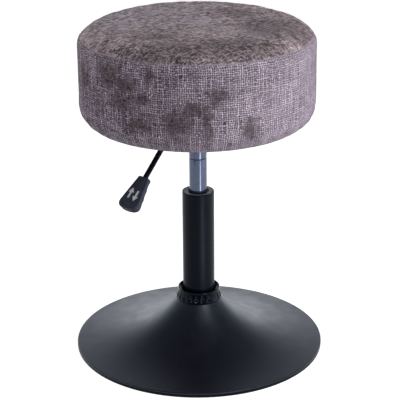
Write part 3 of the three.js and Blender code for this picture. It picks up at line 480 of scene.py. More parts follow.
# Where the pile is brushed dark: degrees round the band from the camera's side, and height,
# half width and half height in mm.
DARK_BAND = (
    (-66, 470, 16, 26), (-43, 490, 26, 20), (-38, 452, 22, 15), (-34, 478, 18, 13),
    (-27, 425, 20, 14), (-26, 460, 14, 10), (-22, 499, 10, 11), (-9, 430, 24, 22),
    (-2, 452, 20, 12), (4, 434, 10, 26), (9, 470, 15, 13), (25, 415, 13, 17),
)
# Dark places on the top panel, in mm to the right of the middle and away from the camera, with half width and half
# height: the two wide ones at the front edge are painted shade on the front shoulder, the others pile brushed
# dark.
DARK_TOP_PILE_AND_SHADE = (
    (-60, -95, 40, 14), (-30, -150, 120, 26), (60, 40, 40, 40),
    (70, -140, 100, 36), (105, -40, 40, 60), (150, -30, 26, 60),
)
PALE_TOP = ((-115, 10, 45, 60), (-40, 60, 70, 36), (-10, -20, 40, 34), (90, -70, 34, 22))


def thread(position):
    """The number of a thread, its bulge at a place, and how far that is off its middle."""
    off = abs(calc("FRACT", position) - 0.5)
    return calc("FLOOR", position), 1.0 - (off * 2.0) ** 2.0, off


def dashes(number, along, length, seed):
    """A random tone for each stretch of each thread."""
    offset = shade("TexWhiteNoise", {"W": number + seed}, noise_dimensions="1D")
    stretch = calc("FLOOR", along / length + offset * 9.0)
    return shade("TexWhiteNoise", {"Vector": vector(number, stretch, seed)})


def patchwork(place, patches):
    """1 inside soft ovals of (middle, middle, half width, half height), 0 outside."""
    total = 0.0
    for a, b, width, height in patches:
        off = stretched(moved(place, (-a, -b, 0.0)), 1 / width, 1 / height, 0.0)
        distance = shade("VectorMath", {0: off}, output=1, operation="LENGTH")
        total = higher(total, spread(distance, 1.5, 0.4, smooth=True))
    return total


def brushed(across, inwards, fineness, leans):
    """Crossing streaks of pile, which lean this many degrees off the weft."""
    layers = []
    for lean in map(radians, leans):
        c, s = cos(lean), sin(lean)
        length = (across * c + inwards * s) * (0.075 * fineness)
        width = (inwards * c - across * s) * (0.21 * fineness)
        layers.append(noise(vector(length, width, 9 * lean), 1.0, 2, 0.65))
    return higher(*layers)


def chenille():
    """Mauve chenille: a loose grid of pale yarns on dark ground, with brushed pile."""
    place = on_piece()
    x, y, z = axes(place)

    # Thread positions: round the side band, and straight across the top panel.
    shift = (noise(place, 0.11) - 0.5) * 1.6
    shift_2 = (noise(stretched(place, 1.0, 1.0, -1.0), 0.13) - 0.5) * 1.6
    around = calc("ARCTAN2", y, x) * (THREADS_AROUND / (2 * pi))
    ring = calc("SQRT", x**2.0 + y**2.0)
    tuck = (BAND_RADIUS - ring) * spread(z, 1000 * SEAT_FOOT + 70, 1000 * SEAT_FOOT + 35)
    up = (z - tuck) / THREAD_PITCH
    c, s = cos(AZIMUTH), sin(AZIMUTH)
    right = x * c + y * s
    inwards = y * c - x * s
    fringed = z + (noise(place, 0.6) - 0.5) * 6.0
    on_top = spread(fringed, SEAM_MM - 0.6, SEAM_MM + 0.6)
    across = blend(on_top, around, right / THREAD_PITCH) + shift
    along = blend(on_top, up, inwards / THREAD_PITCH) + shift_2
    bearing = calc("ARCTAN2", right, inwards * -1.0)
    # Painted light: towards the right of the band, where the key lamp falls, the weave is tinted paler and shows
    # fewer dark holes.
    lit_side = spread(bearing, 0.1, 1.2, 0.0, 0.75, smooth=True) * (1.0 - on_top)

    # Plain weave: each yarn rises over every second one that it crosses.
    warp, warp_bulge, warp_off = thread(across)
    weft, weft_bulge, weft_off = thread(along)
    crossing = calc("COSINE", (warp + weft) * pi)
    warp_height = warp_bulge * spread(crossing, -1, 1, 0.55, 1.0)
    weft_height = weft_bulge * spread(crossing, 1, -1, 0.55, 1.0)
    height = higher(warp_height, weft_height)
    warp_on_top = spread(warp_height - weft_height, -0.1, 0.1)

    # Tones of the yarns, with painted shade down their flanks, and painted shade in the open holes between them.
    yarn = blend(warp_on_top, dashes(weft, across, 2.6, 511.0), dashes(warp, along, 2.6, 3.0))
    weft_long = spread(dashes(weft, across, 11.0, 997.0), 0, 1, 0.2, 0.75)
    long_yarn = blend(warp_on_top, weft_long, dashes(warp, along, 11.0, 77.0))
    knot = shade("TexWhiteNoise", {"Vector": vector(warp, weft, 5.0)})
    fibres = spread(noise(place, 0.8, 3, 0.7), 0.3, 0.7)
    clouds = noise(stretched(place, 1.0, 1.0, 0.6), 0.04, 4, 0.65)
    ground = yarn * 0.24 + long_yarn * 0.4 + knot * 0.18 + fibres * 0.18
    # Painted shade: the ground tone darkens down the yarns' flanks and where they dip under a crossing yarn.
    ground = spread(ground * spread(height, 0.3, 1.0, 0.45, 1.12), 0.1, 0.8, 0.07, 1.0)
    # Painted shade: a power that darkens the band's weave by its bearing from the camera's side, most towards the
    # left.
    side_shade = spread(bearing, -1.0, 0.2, 1.7, 1.0) + spread(bearing, 0.8, 1.3, 0, 0.5)
    weave = tint(ground**side_shade, rgb(46, 28, 46), rgb(250, 232, 252))
    # Painted light: the band's right side is tinted pale lavender.
    weave = tint(lit_side * 0.3, weave, rgb(174, 162, 180))
    # Painted shade: the open holes between the yarns are darkened to near black.
    pit_edge = 0.33 - (knot * 0.08 + yarn * 0.08)
    gaps = [spread(off - pit_edge, -0.04, 0.06) for off in (warp_off, weft_off)]
    pit_shade = gaps[0] * gaps[1] * spread(lit_side, 0, 1, 0.97, 0.85)
    weave = tint(pit_shade, weave, rgb(12, 6, 11))

    # Brown pile, in patches on the band and over nearly all of the top.
    side_pile = spread(noise(stretched(place, 0.3, 0.3, 0.3), 1.0, 3, 0.6), 0.44, 0.56)
    dark_tone = side_pile * 0.35 + yarn * 0.2 + knot * 0.2
    dark_pile = tint(dark_tone, rgb(8, 3, 6), rgb(150, 130, 140))
    long_pile = spread(brushed(right, inwards, 1.0, (44, -38)), 0.49, 0.65)
    short_pile = spread(brushed(right, inwards, 1.9, (34, -30)), 0.50, 0.66)
    top_pile = blend(spread(inwards, 20, -130, smooth=True), long_pile, short_pile)
    mottle = spread(noise(place, 0.03, 3, 0.6), 0.35, 0.65)
    warm_tone = top_pile * 0.84 + knot * 0.14 + mottle * 0.2
    warm = tint(warm_tone, rgb(22, 12, 14), rgb(250, 228, 234))

    # The patches, with wandering edges.
    wobble = moved(noise(place, 0.07, 3, output=1), (-0.5, -0.5, -0.5))
    wobble = stretched(wobble, 44.0, 44.0, 44.0)
    places = (vector(bearing * BAND_RADIUS, z, 0.0), vector(right, inwards, 0.0))
    on_side, on_panel = [moved(spot, wobble) for spot in places]
    band_patches = [(radians(a) * BAND_RADIUS, b, w, h) for a, b, w, h in DARK_BAND]
    dull = spread(clouds, 0.54, 0.68, 0.0, 0.45, smooth=True)
    side_cover = higher(patchwork(on_side, band_patches), dull)
    side = tint(side_cover * 0.85, weave, dark_pile)
    haze = patchwork(on_panel, PALE_TOP) * spread(warm_tone, 0.2, 0.8, 0.1, 0.75)
    top = tint(haze, warm, rgb(214, 204, 218))
    # Painted shade on the front shoulder of the top, and dark patches of pile.
    top = tint(patchwork(on_panel, DARK_TOP_PILE_AND_SHADE) * 0.5, top, rgb(44, 26, 26))
    top = tint(spread(clouds, 0.35, 0.6, 0.85, 1.0), weave, top)
    color = tint(on_top, side, top)
    hairs = spread(abs(fringed - SEAM_MM), 1.6, 0.4) * spread(yarn, 0.2, 0.7)
    color = tint(hairs * 0.75, color, rgb(214, 200, 210))

    rough = spread(fibres, 0.2, 0.8, 0.85, 1.0)
    sheen = {"Sheen Weight": 0.15, "Sheen Roughness": 0.5, "Sheen Tint": rgb(214, 206, 216)}
    sheen["Specular IOR Level"] = 0.2
    dress(color, rough, height + fibres * 0.9, 0.0006, 0.8, **sheen)


def finish(name, dresser, *looks):
    material = bpy.data.materials.new(name)
    material.use_nodes = True
    Field.tree = material.node_tree
    dresser(*looks)
    return material


ROUND = (0.4, 0.4, 6.0)  # brushed round the axis
PLAIN = (1.5, 1.5, 1.5)
LOOKS = (
    ("black_paint", painted, rgb(15, 17, 25), rgb(19, 21, 30), 0.42, 0.85),
    ("column_paint", painted, rgb(12, 15, 24), rgb(15, 18, 28), 0.34, 0.09),
    ("black_plastic", plastic, rgb(3, 6, 17), rgb(6, 9, 22), 0.1, 0.14),
    ("polished_plastic", plastic, rgb(4, 6, 14), rgb(7, 9, 18), 0.24, 1.0),
    ("handle_plastic", plastic, rgb(60, 64, 77), rgb(68, 72, 86), 0.5, 0.12),
    ("grey_plastic", plastic, rgb(112, 114, 124), rgb(124, 126, 136), 0.45),
    ("black_rubber", rubber),
    ("zinc_steel", metal, rgb(150, 152, 158), rgb(188, 190, 194), 0.34, PLAIN),
    ("cylinder_steel", metal, rgb(77, 84, 104), rgb(83, 90, 110), 0.16, ROUND, 0.85),
    ("chromed_steel", metal, rgb(205, 207, 212), rgb(226, 228, 232), 0.12, ROUND),
    ("plywood", wood),
    ("foam", foam_rubber),
    ("chenille", chenille),
    ("black_cloth", bonded_cloth),
    ("handle_mark", plastic, rgb(226, 229, 238), rgb(238, 240, 246), 0.5),
)
FINISHES = {name: finish(name, *looks) for name, *looks in LOOKS}


def finish_cad_nodes():
    """The nodes that stay get the finish of their slot."""
    for part in frame["record"]["subparts"]:
        coat(frame["nodes"][part["node"]].data, part["material_slot"])


# ---- base

NECK_RADIUS = 0.036
FLARE_DECAY = 0.059  # the flare falls to 1/e of its height over this radius
GRIP_HALF = 0.0037


def flare_height(radius):
    """The flare of the base, a falling exponential from the neck to the rim."""
    rim_depth = 0.0053
    rim_top = RIM_FOOT + rim_depth
    at_rim, share = [exp(-(r - NECK_RADIUS) / FLARE_DECAY) for r in (BASE_RADIUS, radius)]
    return rim_top + (NECK_HEIGHT - rim_top) * (share - at_rim) / (1 - at_rim)


def add_base_shell():
    rim_round = 0.0018
    outer, inner = [], []
    for share in shares(69):
        r = NECK_RADIUS + (BASE_RADIUS - rim_round - NECK_RADIUS) * share**1.4
        slope = atan((flare_height(r - 0.0005) - flare_height(r + 0.0005)) / 0.001)
        z = flare_height(r)
        outer.append((r, z))
        inner.append((r - SHELL_WALL * sin(slope), z - SHELL_WALL * cos(slope)))
    turn = (BASE_RADIUS - rim_round, outer[-1][1] - rim_round)
    rolled = round_edge(turn, (rim_round, rim_round, 2), 88, 0, 8)
    inner_rolled = [(r - SHELL_WALL * 0.98, min(z, inner[-1][1])) for r, z in rolled[-2:]]
    outline = [
        (HUB_BORE, NECK_HEIGHT), *outer, *rolled, (BASE_RADIUS, RIM_FOOT + 0.0004),
        (BASE_RADIUS - 0.0004, RIM_FOOT), (BASE_RADIUS - SHELL_WALL, RIM_FOOT),
        *inner_rolled[::-1], *inner[::-1], (inner[0][0], NECK_HEIGHT - SHELL_WALL),
        (HUB_BORE, NECK_HEIGHT - SHELL_WALL),
    ]
    shell = finished("trumpet_base", turned(outline, FINE), "black_paint", "base", "base_shell")

    def on_rim(middle, normal):
        return middle.z < turn[1] and middle.xy.length > BASE_RADIUS - 0.0006

    refinish(shell, "column_paint", on_rim)


def add_floor_ring():
    _, foot, top = extent("floor_ring")
    step = 0.0017  # height of the step that the rim stands on
    inner = BASE_RADIUS - 0.010
    lip = BASE_RADIUS - SHELL_WALL - 0.0002
    corners = [
        (inner, foot, 0.0004), (BASE_RADIUS - 0.0006, foot, 0.0005), (BASE_RADIUS, step, 0.0003),
        (lip, step, 0), (lip, top, 0.0003), (lip - 0.0032, top, 0.0003), (lip - 0.0032, step, 0),
        (inner, step, 0.0003),
    ]
    add_turned("floor_bead", corners, 3, FINE, "black_rubber", "base", "floor_ring")


def grip_half_width(share):
    """Half a grip's width at a share of its height: a round belly under a long point."""
    belly = 0.3
    if share < belly:
        return GRIP_HALF * sqrt(1 - (1 - share / belly) ** 2)
    return GRIP_HALF * (1 - (share - belly) / (1 - belly)) ** 0.8


def add_collar():
    """Ring nut: a thin lip over a sloping skirt with hollow, drop-shaped grips."""
    radius, foot, top = extent("collar")
    rim, bore, skirt_top = 0.0334, 0.0278, top - 0.0026
    skirt = [Vector((radius, foot + 0.0012)), Vector((rim - 0.0002, skirt_top))]
    lip = [
        (rim, skirt_top + 0.0003, 0.0002), (rim, top, 0.0008), (rim - 0.0022, top, 0.0008),
        (rim - 0.0034, top - 0.0042, 0.001), (bore, top - 0.0046, 0.0006),
    ]
    hub_top = NECK_HEIGHT + 0.0103
    outline = [
        (HUB_BORE, foot), (radius - 0.0014, foot), (radius - 0.0005, foot + 0.0004),
        *[tuple(bezier(share, *skirt)) for share in shares(44)], *fillet(lip, 6), (bore, hub_top),
        (HUB_BORE, hub_top),
    ]
    grip_count, grip_depth = 22, 0.0016
    grip_foot = foot + 0.0028
    height = skirt_top - 0.0012 - grip_foot
    pitch = 2 * pi / grip_count

    def hollow(radius, angle, z):
        share = (z - grip_foot) / height
        if radius < rim - 0.0006 or not 0 < share < 1:
            return 0
        off = abs(angle - round(angle / pitch) * pitch) * radius
        half = grip_half_width(share)
        shelter = min(1, 1.2 * half / GRIP_HALF)
        return -grip_depth * (1 - (off / half) ** 2) * shelter if off < half else 0

    mesh = pushed(turned(outline, grip_count * 34), hollow)
    nut = finished("ring_nut", mesh, "black_plastic", "base", "collar", 50)

    def on_ledge(middle, normal):
        return normal.z > 0.42 and grip_foot < middle.z < grip_foot + height / 2

    refinish(nut, "polished_plastic", on_ledge)


# ---- column and gas spring


def add_column():
    radius, foot, top = extent("column_tube")
    floor_bore, floor = 0.0065, foot + 0.003
    taper, taper_top = 0.0016, foot + 0.068
    inside = radius - 0.002
    corners = [
        (floor_bore, foot, 0.0003), (radius - taper, foot, 0.0012), (radius, taper_top, 0),
        (radius, top, 0.0011), (inside, top, 0.0004), (inside, taper_top, 0),
        (inside - taper * (taper_top - floor) / (taper_top - foot), floor, 0),
        (floor_bore, floor, 0),
    ]
    add_turned("outer_tube", corners, 5, MEDIUM, "column_paint", "base", "column_tube")


def add_bush():
    radius, foot, top = extent("guide_bush")
    bore, dish_floor = TUBE_RADIUS + 0.00035, top - 0.0024
    dish = 0.35 * (radius - bore)
    corners = [
        (bore, foot, 0.0005), (radius, foot, 0.0005), (radius, top, 0.0005),
        (bore + dish, top, 0.0008), (bore + dish / 2, dish_floor, 0.001),
        (bore, dish_floor, 0.0004),
    ]
    add_turned("sleeve_bush", corners, 5, MEDIUM, "grey_plastic", "base", "guide_bush")


def add_cylinder():
    radius, foot, top = TUBE_RADIUS, TUBE_FOOT, TUBE_TOP
    bore, crimp_bore, crimp = 0.0115, 0.0085, 0.0018
    groove, groove_width = SOCKET_FOOT - 0.0145, 0.001
    neck = radius - 0.0007
    corners = [
        (crimp_bore, foot, 0.0004), (radius, foot, 0.0014),
        (radius, groove - groove_width, 0.0004), (neck, groove - groove_width / 2, 0.0003),
        (neck, groove + groove_width / 2, 0.0003), (radius, groove + groove_width, 0.0004),
        (radius, SOCKET_FOOT, 0), (radius - CONE_DROP, top, 0.0012), (crimp_bore, top, 0.0005),
        (crimp_bore, top - crimp, 0), (bore, top - crimp, 0), (bore, foot + crimp, 0),
        (crimp_bore, foot + crimp, 0),
    ]
    add_turned("pressure_tube", corners, 4, MEDIUM, "cylinder_steel", "seat", "gas_cylinder")


# ---- seat plate


def add_seat_plate():
    """Pressed plate: a square flange round a pan, with bolt holes and a slot for the lever."""
    sheet, pan, pan_floor = 0.0025, 0.041, 0.036
    reach, foot, top = PLATE_REACH, PLATE_FOOT, PLATE_TOP
    flange = top - sheet
    bore = SOCKET_RADIUS + 0.0003
    corners = [
        (bore, foot, 0.0002), (pan_floor, foot, 0.0028), (pan, flange, 0.0022),
        (1.5 * reach, flange, 0), (1.5 * reach, top, 0), (pan - sheet, top, 0.0008),
        (pan_floor - sheet, foot + sheet, 0.0008), (bore, foot + sheet, 0.0002),
    ]
    mesh = turned(fillet(corners, 6), MEDIUM)
    square = prism(rounded_box(reach, reach, 0.012), foot - 0.001, top + 0.001)
    mesh = cut(mesh, square, "INTERSECT")
    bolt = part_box("seat_bolt_1")
    out = abs(bolt[0].x + bolt[1].x) / 2
    hole = [[0.00325 * value for value in on_circle(angle)] for angle in way_round(32)]
    for x, y in ((-out, -out), (-out, out), (out, -out), (out, out)):
        here = [(x + a, y + b) for a, b in hole]
        mesh = cut(mesh, prism(here, flange - 0.001, top + 0.001))
    slot_half = BAR_RADIUS + 0.0014
    slot_foot, slot_top = LEVER_HEIGHT - slot_half, flange - 0.0006
    slot = prism(rounded_box((slot_top - slot_foot) / 2, slot_half, 0.0012), -0.006, 0.006)
    place = Matrix.Translation((sheet - pan, 0, (slot_foot + slot_top) / 2))
    slot.transform(place @ Matrix.Rotation(pi / 2, 4, "Y"))
    finished("plate_pressing", cut(mesh, slot), "black_paint", "seat", "seat_plate", 40)


def add_cone_socket():
    """Tapered socket under the pan, with the bead of its weld."""
    radius, foot, top = SOCKET_RADIUS, SOCKET_FOOT, SOCKET_TOP
    weld, weld_top = 0.0022, PLATE_FOOT - 0.00005
    bead = [on_circle(angle) for angle in spaced(pi / 2, 0, 8)]
    outline = [
        (TUBE_RADIUS + 0.0003, foot + 0.0004), (TUBE_RADIUS + 0.0007, foot),
        (radius - 0.0008, foot), (radius - 0.0003, foot + 0.0003), (radius, foot + 0.0009),
        *[(radius + weld * across, weld_top - weld * up) for across, up in bead],
        (radius, weld_top), (radius, top - 0.0003), (radius - 0.0003, top),
        (TUBE_RADIUS - CONE_DROP + 0.0003, top),
    ]

    def ripple(r, angle, _):
        return 0.14 * sin(54 * angle) * (r - radius) if r > radius + 0.0001 else 0

    mesh = pushed(turned(outline, FINE), ripple)
    finished("socket_body", mesh, "black_paint", "seat", "cone_socket", 40)


# ---- release lever

DROP_WAY = Vector((-cos(DROP_ANGLE), 0, -sin(DROP_ANGLE)))
BEND_CORNER = Vector((-BEND_REACH, 0, LEVER_HEIGHT))
HANDLE_PLACE = Matrix.Translation(BEND_CORNER + DROP_WAY * DROP_LENGTH)
HANDLE_PLACE @= Matrix.Rotation(pi - DROP_ANGLE, 4, "Y")


def lever_line():
    """The lever's centre line from the release pin to inside the handle."""
    bend_radius, in_handle = 0.014, 0.036
    bend = bend_radius * tan(DROP_ANGLE / 2)
    start, end = BEND_CORNER + Vector((bend, 0, 0)), BEND_CORNER + DROP_WAY * bend
    first = Vector((TONGUE_HALF, 0, LEVER_HEIGHT))
    last = BEND_CORNER + DROP_WAY * (DROP_LENGTH + in_handle)
    points = [bezier(t, first, start) for t in shares(89)[:-1]]
    points += [bezier(t, start, BEND_CORNER, end) for t in shares(16)[:-1]]
    return points + [bezier(t, end, last) for t in shares(29)]


def lever_section(x):
    """Half the width and height of the lever at an x, and the power that flattens its section.

    A thin plastic sleeve covers the bar from the bend outwards.
    """
    round_end, flat_start, flat_height, sleeve = -0.0435, -0.0345, 0.003, 0.0006
    flat = ease(progress(x, round_end, flat_start))
    bar = BAR_RADIUS + sleeve * progress(-x, BEND_REACH, BEND_REACH + 0.004)
    half_width = bar + (TONGUE_HALF - bar) * flat
    if x > 0:
        half_width *= sqrt(max(1 - (x / TONGUE_HALF) ** 2, 0.02))
    return half_width, bar + (flat_height - bar) * flat, 1 - 0.5 * flat


def add_lever_rod():
    """Round bar, flattened at its inner end into a round-tipped tongue."""
    points = lever_line()
    across = Vector((0, 1, 0))
    rings = []
    for i, point in enumerate(points):
        way = points[min(i + 1, len(points) - 1)] - points[max(i - 1, 0)]
        up = across.cross(way.normalized())
        width, height, power = lever_section(point.x)
        loop = [on_circle(angle, power) for angle in way_round(32)]
        rings.append([point + across * width * a + up * height * b for a, b in loop])
    finished("release_lever", skin(rings), "column_paint", "lever", "lever_rod", 50)


def handle_outline(inset):
    """Straight flanks and a shallow round end, moved inwards by an inset.

    Points are along the handle and across it, from the middle of the neck round to it again.
    """
    neck, half, shoulder, neck_round = 0.0095, 0.01875, 0.012, 0.003
    end, curve = HANDLE_LENGTH, HANDLE_LENGTH - shoulder
    turns = (0, neck), (curve, half), (end - 0.15 * shoulder, half), (end, 0.6 * half), (end, 0)
    corner, flank_end, pull, tip_pull, tip = map(Vector, turns)
    flank = corner + (flank_end - corner).normalized() * neck_round
    upper = [Vector((0, 0)), Vector((0, neck / 3))]
    upper += [bezier(t, Vector((0, neck - neck_round)), corner, flank) for t in shares(6)]
    upper += [bezier(t, flank, flank_end) for t in shares(8)[1:-1]]
    upper += [bezier(t, flank_end, pull, tip_pull, tip) for t in shares(18)]
    loop = upper + [Vector((p.x, -p.y)) for p in reversed(upper[1:-1])]
    moved = []
    for i, point in enumerate(loop):
        way = loop[(i + 1) % len(loop)] - loop[i - 1]
        moved.append(point + Vector((way.y, -way.x)).normalized() * inset)
    return moved


def depth_at(x):
    neck = 0.010
    return neck + (HANDLE_DEPTH - neck) * x / HANDLE_LENGTH


def finger_hollow(x):
    """How deep the finger hollows are at a place along the handle."""
    radius, depth = 0.015, 0.0026
    reaches = [radius**2 - (x - start) ** 2 for start in (0.013, 0.027, 0.041)]
    return max([0.0, *[sqrt(reach) - (radius - depth) for reach in reaches if reach > 0]])


def add_handle():
    """Moulded paddle with a raised border on its face and finger hollows behind."""
    half, edge = HANDLE_DEPTH / 2, 0.0022
    curve = [on_circle(angle) for angle in spaced(0, pi / 2, 6)]
    rings = [(edge * (1 - down), half - edge + edge * out) for out, down in curve]
    rings += [(inset, -z) for inset, z in reversed(rings)]
    rings += [(edge + 0.0012, -half), (edge + 0.0017, -half + 0.0005)]
    mesh = skin([[(p.x, p.y, z) for p in handle_outline(inset)] for inset, z in rings])
    body = bmesh.new()
    body.from_mesh(mesh)
    for x in spaced(0, HANDLE_LENGTH, 58)[1:-1]:
        cutting = {"dist": 1e-6, "plane_co": (x, 0, 0), "plane_no": (1, 0, 0)}
        bmesh.ops.bisect_plane(body, geom=body.verts[:] + body.edges[:] + body.faces[:], **cutting)
    for vertex in body.verts:
        thickness = depth_at(vertex.co.x)
        vertex.co.z *= thickness / HANDLE_DEPTH
        if vertex.co.z > 0:
            share = vertex.co.z / (thickness / 2)
            vertex.co.z -= finger_hollow(vertex.co.x) * share**2
    body.to_mesh(mesh)
    body.free()
    mesh.transform(HANDLE_PLACE)
    finished("grip_handle", mesh, "handle_plastic", "lever", "lever_handle", 42)


def add_handle_mark():
    """Two arrows, up and down, printed on the handle's face."""
    shaft, barb, tail, neck, tip = 0.0018, 0.0054, -0.0088, 0.0012, 0.0092
    arrow = [(-shaft, tail), (shaft, tail), (shaft, neck), (barb, neck)]
    arrow += [(0.0, tip), (-barb, neck), (-shaft, neck)]
    arrows = []
    for middle_x, middle_y, way in ((0.031, 0.0060, -1), (0.034, -0.0060, 1)):
        flat = [(middle_x + way * up, middle_y + across) for across, up in arrow]
        lifts = [0.0005, 0.0004]
        arrows.append([[(x, y, lift - depth_at(x) / 2) for x, y in flat] for lift in lifts])
    mesh = skin(*arrows)
    mesh.transform(HANDLE_PLACE)
    finished("arrow_mark", mesh, "handle_mark", "lever")


# ---- seat


def drum_section(inset, steps):
    """The upper and the lower edge of the padded drum."""
    top, foot = [(w - inset, h - inset, fullness) for w, h, fullness in (TOP_ROUND, FOOT_ROUND)]
    radius = SEAT_RADIUS - inset
    top_centre = (radius - top[0], SEAT_TOP - CROWN - inset - top[1])
    foot_centre = (radius - foot[0], SEAT_FOOT + inset + foot[1])
    return round_edge(top_centre, top, 0, 90, steps), round_edge(foot_centre, foot, 0, -90, steps)


def crown_rise(share):
    """How far the top swells at a share of the way out from its middle."""
    return CROWN * (1 - share**2) ** 2


def cell_at(z):
    """The cover's cell size at a height, finer round the seam."""
    return SEAM_CELL if abs(z - SEAM_HEIGHT) < 3.5 * SEAM_CELL else COVER_CELL


def evenly(path):
    """Points along a path of (radius, height), one cell apart."""
    points = [Vector(path[0])]
    left = 0.0
    for before, after in zip(path, path[1:]):
        before, after = Vector(before), Vector(after)
        length = (after - before).length
        middle_cell = cell_at((before.y + after.y) / 2)
        place = middle_cell - left
        while place < length:
            points.append(before.lerp(after, place / length))
            place += cell_at(points[-1].y)
        left = length - (place - middle_cell)
    if (points[-1] - Vector(path[-1])).length < COVER_CELL / 2:
        points.pop()
    return [*points, Vector(path[-1])]


def cover_section():
    """Down the outside of the cover, from the rim of its top to the hem."""
    top_arc, foot_arc = drum_section(0.0, 60)
    hem = [(r, SEAT_FOOT) for r in spaced(foot_arc[-1][0], HEM_INNER, 5)]
    return evenly([*top_arc[::-1], *foot_arc, *hem[1:]])


def cover_mesh():
    """Square grid stretched over the top, then rings of cells down to the hem."""
    section = cover_section()
    flat, edge_z = section[0]
    half = round(pi * flat / 4 / COVER_CELL)
    points, number = [], {}
    for i in range(-half, half + 1):
        for j in range(-half, half + 1):
            ring = max(abs(i), abs(j)) / half
            way = Vector([tan(pi / 4 * k / half) for k in (i, j)]).normalized()
            square = Vector((i, j)) / half * 0.86
            place = square.lerp(way * ring, ring**2) * flat
            number[i, j] = len(points)
            points.append((*place, edge_z + crown_rise(min(place.length / flat, 1))))
    cells = [(i, j) for i in range(-half, half) for j in range(-half, half)]
    corners = ((0, 0), (1, 0), (1, 1), (0, 1))
    faces = [tuple(number[i + a, j + b] for a, b in corners) for i, j in cells]
    border = [(half, j) for j in range(-half, half)] + [(-i, half) for i in range(-half, half)]
    border += [(-i, -j) for i, j in border]
    angles = [atan2(*[tan(pi / 4 * k / half) for k in (j, i)]) for i, j in border]
    rim = [number[key] for key in border]
    for radius, z in section[1:]:
        ring = list(range(len(points), len(points) + len(angles)))
        points += [(radius * cos(angle), radius * sin(angle), z) for angle in angles]
        faces += [(rim[k - 1], ring[k - 1], ring[k], rim[k]) for k in range(len(ring))]
        rim = ring
    return mesh_of(points, faces)


def looseness(place):
    """How free a point of the cover is: 0 where it is held under the board, 1 on the side."""
    climb = (place.z - SEAT_FOOT) + max(hypot(place.x, place.y) - BOARD_RADIUS, 0) * 0.6
    return ease(progress(climb, 0.003, 0.023))


def swell(piece):
    """Blows the cover up as cloth from a slightly smaller shape, held along the hem.

    The foam holds it lightly where it starts, and lets no point move further than the cap.
    """
    start_inset, foam_hold, cap, frames = 0.0020, 0.1, 0.0034, 20
    aims = [(vertex.co.copy(), vertex.normal.copy()) for vertex in piece.data.vertices]
    held = piece.vertex_groups.new(name="held")
    for vertex, (aim, normal) in zip(piece.data.vertices, aims):
        free = looseness(aim)
        held.add([vertex.index], max(1 - free, foam_hold), "REPLACE")
        uneven = 1 + 0.35 * soft_noise(aim, 22, 4) + 0.2 * soft_noise(aim, 60, 9)
        vertex.co = aim - normal * start_inset * free * uneven
    cloth = piece.modifiers.new("cloth", "CLOTH")
    configured(
        cloth.settings, quality=4, mass=0.3, tension_stiffness=20, compression_stiffness=20,
        shear_stiffness=8, bending_stiffness=0.4, shrink_min=-0.01, use_pressure=True,
        uniform_pressure_force=4, vertex_group_mass="held", pin_stiffness=1,
    )
    cloth.settings.effector_weights.gravity = 0
    cloth.collision_settings.use_collision = False
    configured(cloth.point_cache, frame_start=1, frame_end=frames)
    for step in range(1, frames + 1):
        bpy.context.scene.frame_set(step)
    mesh = settled(piece)
    bpy.context.scene.frame_set(1)
    for vertex, (aim, normal) in zip(mesh.vertices, aims):
        move = vertex.co - aim
        depth = move.dot(normal)
        move += normal * (min(max(depth, -SINK_LIMIT), SINK_LIMIT) - depth)
        if move.length > cap:
            move *= cap / move.length
        vertex.co = aim + move
    piece.vertex_groups.clear()


def detail(place):
    """How far the seam and the gathers push the cover's side out at a place."""
    ridge, groove, seam_width, wander = 0.0006, 0.0007, 0.0022, 0.0016
    gathers, gather_depth, gather_height = 46, 0.0007, 0.045
    radius = hypot(place.x, place.y)
    if radius <= BOARD_RADIUS:
        return 0.0
    way = (place.x / radius, place.y / radius, 0)
    push = 0.0
    off = abs(place.z - SEAM_HEIGHT - wander * soft_noise(way, 2.2, 3)) / seam_width
    if off < 3:
        push += ridge * exp(-((off - 1.1) ** 2) * 3) - groove * exp(-off * off * 4)
    climb = (place.z - SEAT_FOOT) / gather_height
    if climb < 1:
        phase = gathers * atan2(place.y, place.x) + 5 * soft_noise(way, 5, 7)
        fade = sin(pi * climb) ** 1.2 * min(1, (radius - BOARD_RADIUS) / 0.012)
        push += gather_depth * fade * sin(phase)
    return push


def add_cover():
    cover = finished("seat_skin", cover_mesh(), "chenille", "seat", "seat_cover", 180)
    swell(cover)
    mesh = modified(cover, "SUBSURF", levels=1, render_levels=1)
    grain = 0.0003
    normals = [vertex.normal.copy() for vertex in mesh.vertices]
    for vertex, normal in zip(mesh.vertices, normals):
        out = Vector((vertex.co.x, vertex.co.y, 0)).normalized()
        vertex.co += out * detail(vertex.co)
        vertex.co += normal * grain * soft_noise(vertex.co, 330, 1)
    modified(cover, "SOLIDIFY", thickness=COVER_THICKNESS, offset=-1)
    cover.data.shade_smooth()


def add_foam():
    """Foam block under the cover, rebated for the board."""
    top_arc, foot_arc = drum_section(COVER_THICKNESS + SINK_LIMIT + 0.0012, 20)
    flat, edge_z = top_arc[-1]
    crown = [(flat * share, edge_z + crown_rise(share)) for share in shares(12)[-2::-1]]
    rebate = BOARD_RADIUS + 0.0003
    outline = [
        (0, BOARD_TOP + 0.0003), (rebate, BOARD_TOP + 0.0003), (rebate, foot_arc[-1][1] + 0.0002),
        *[point for point in reversed(foot_arc) if point[0] > rebate + 0.0005], *top_arc, *crown,
    ]
    foam = finished("foam_block", turned(outline, FINE), "foam", "seat", "foam_pad")


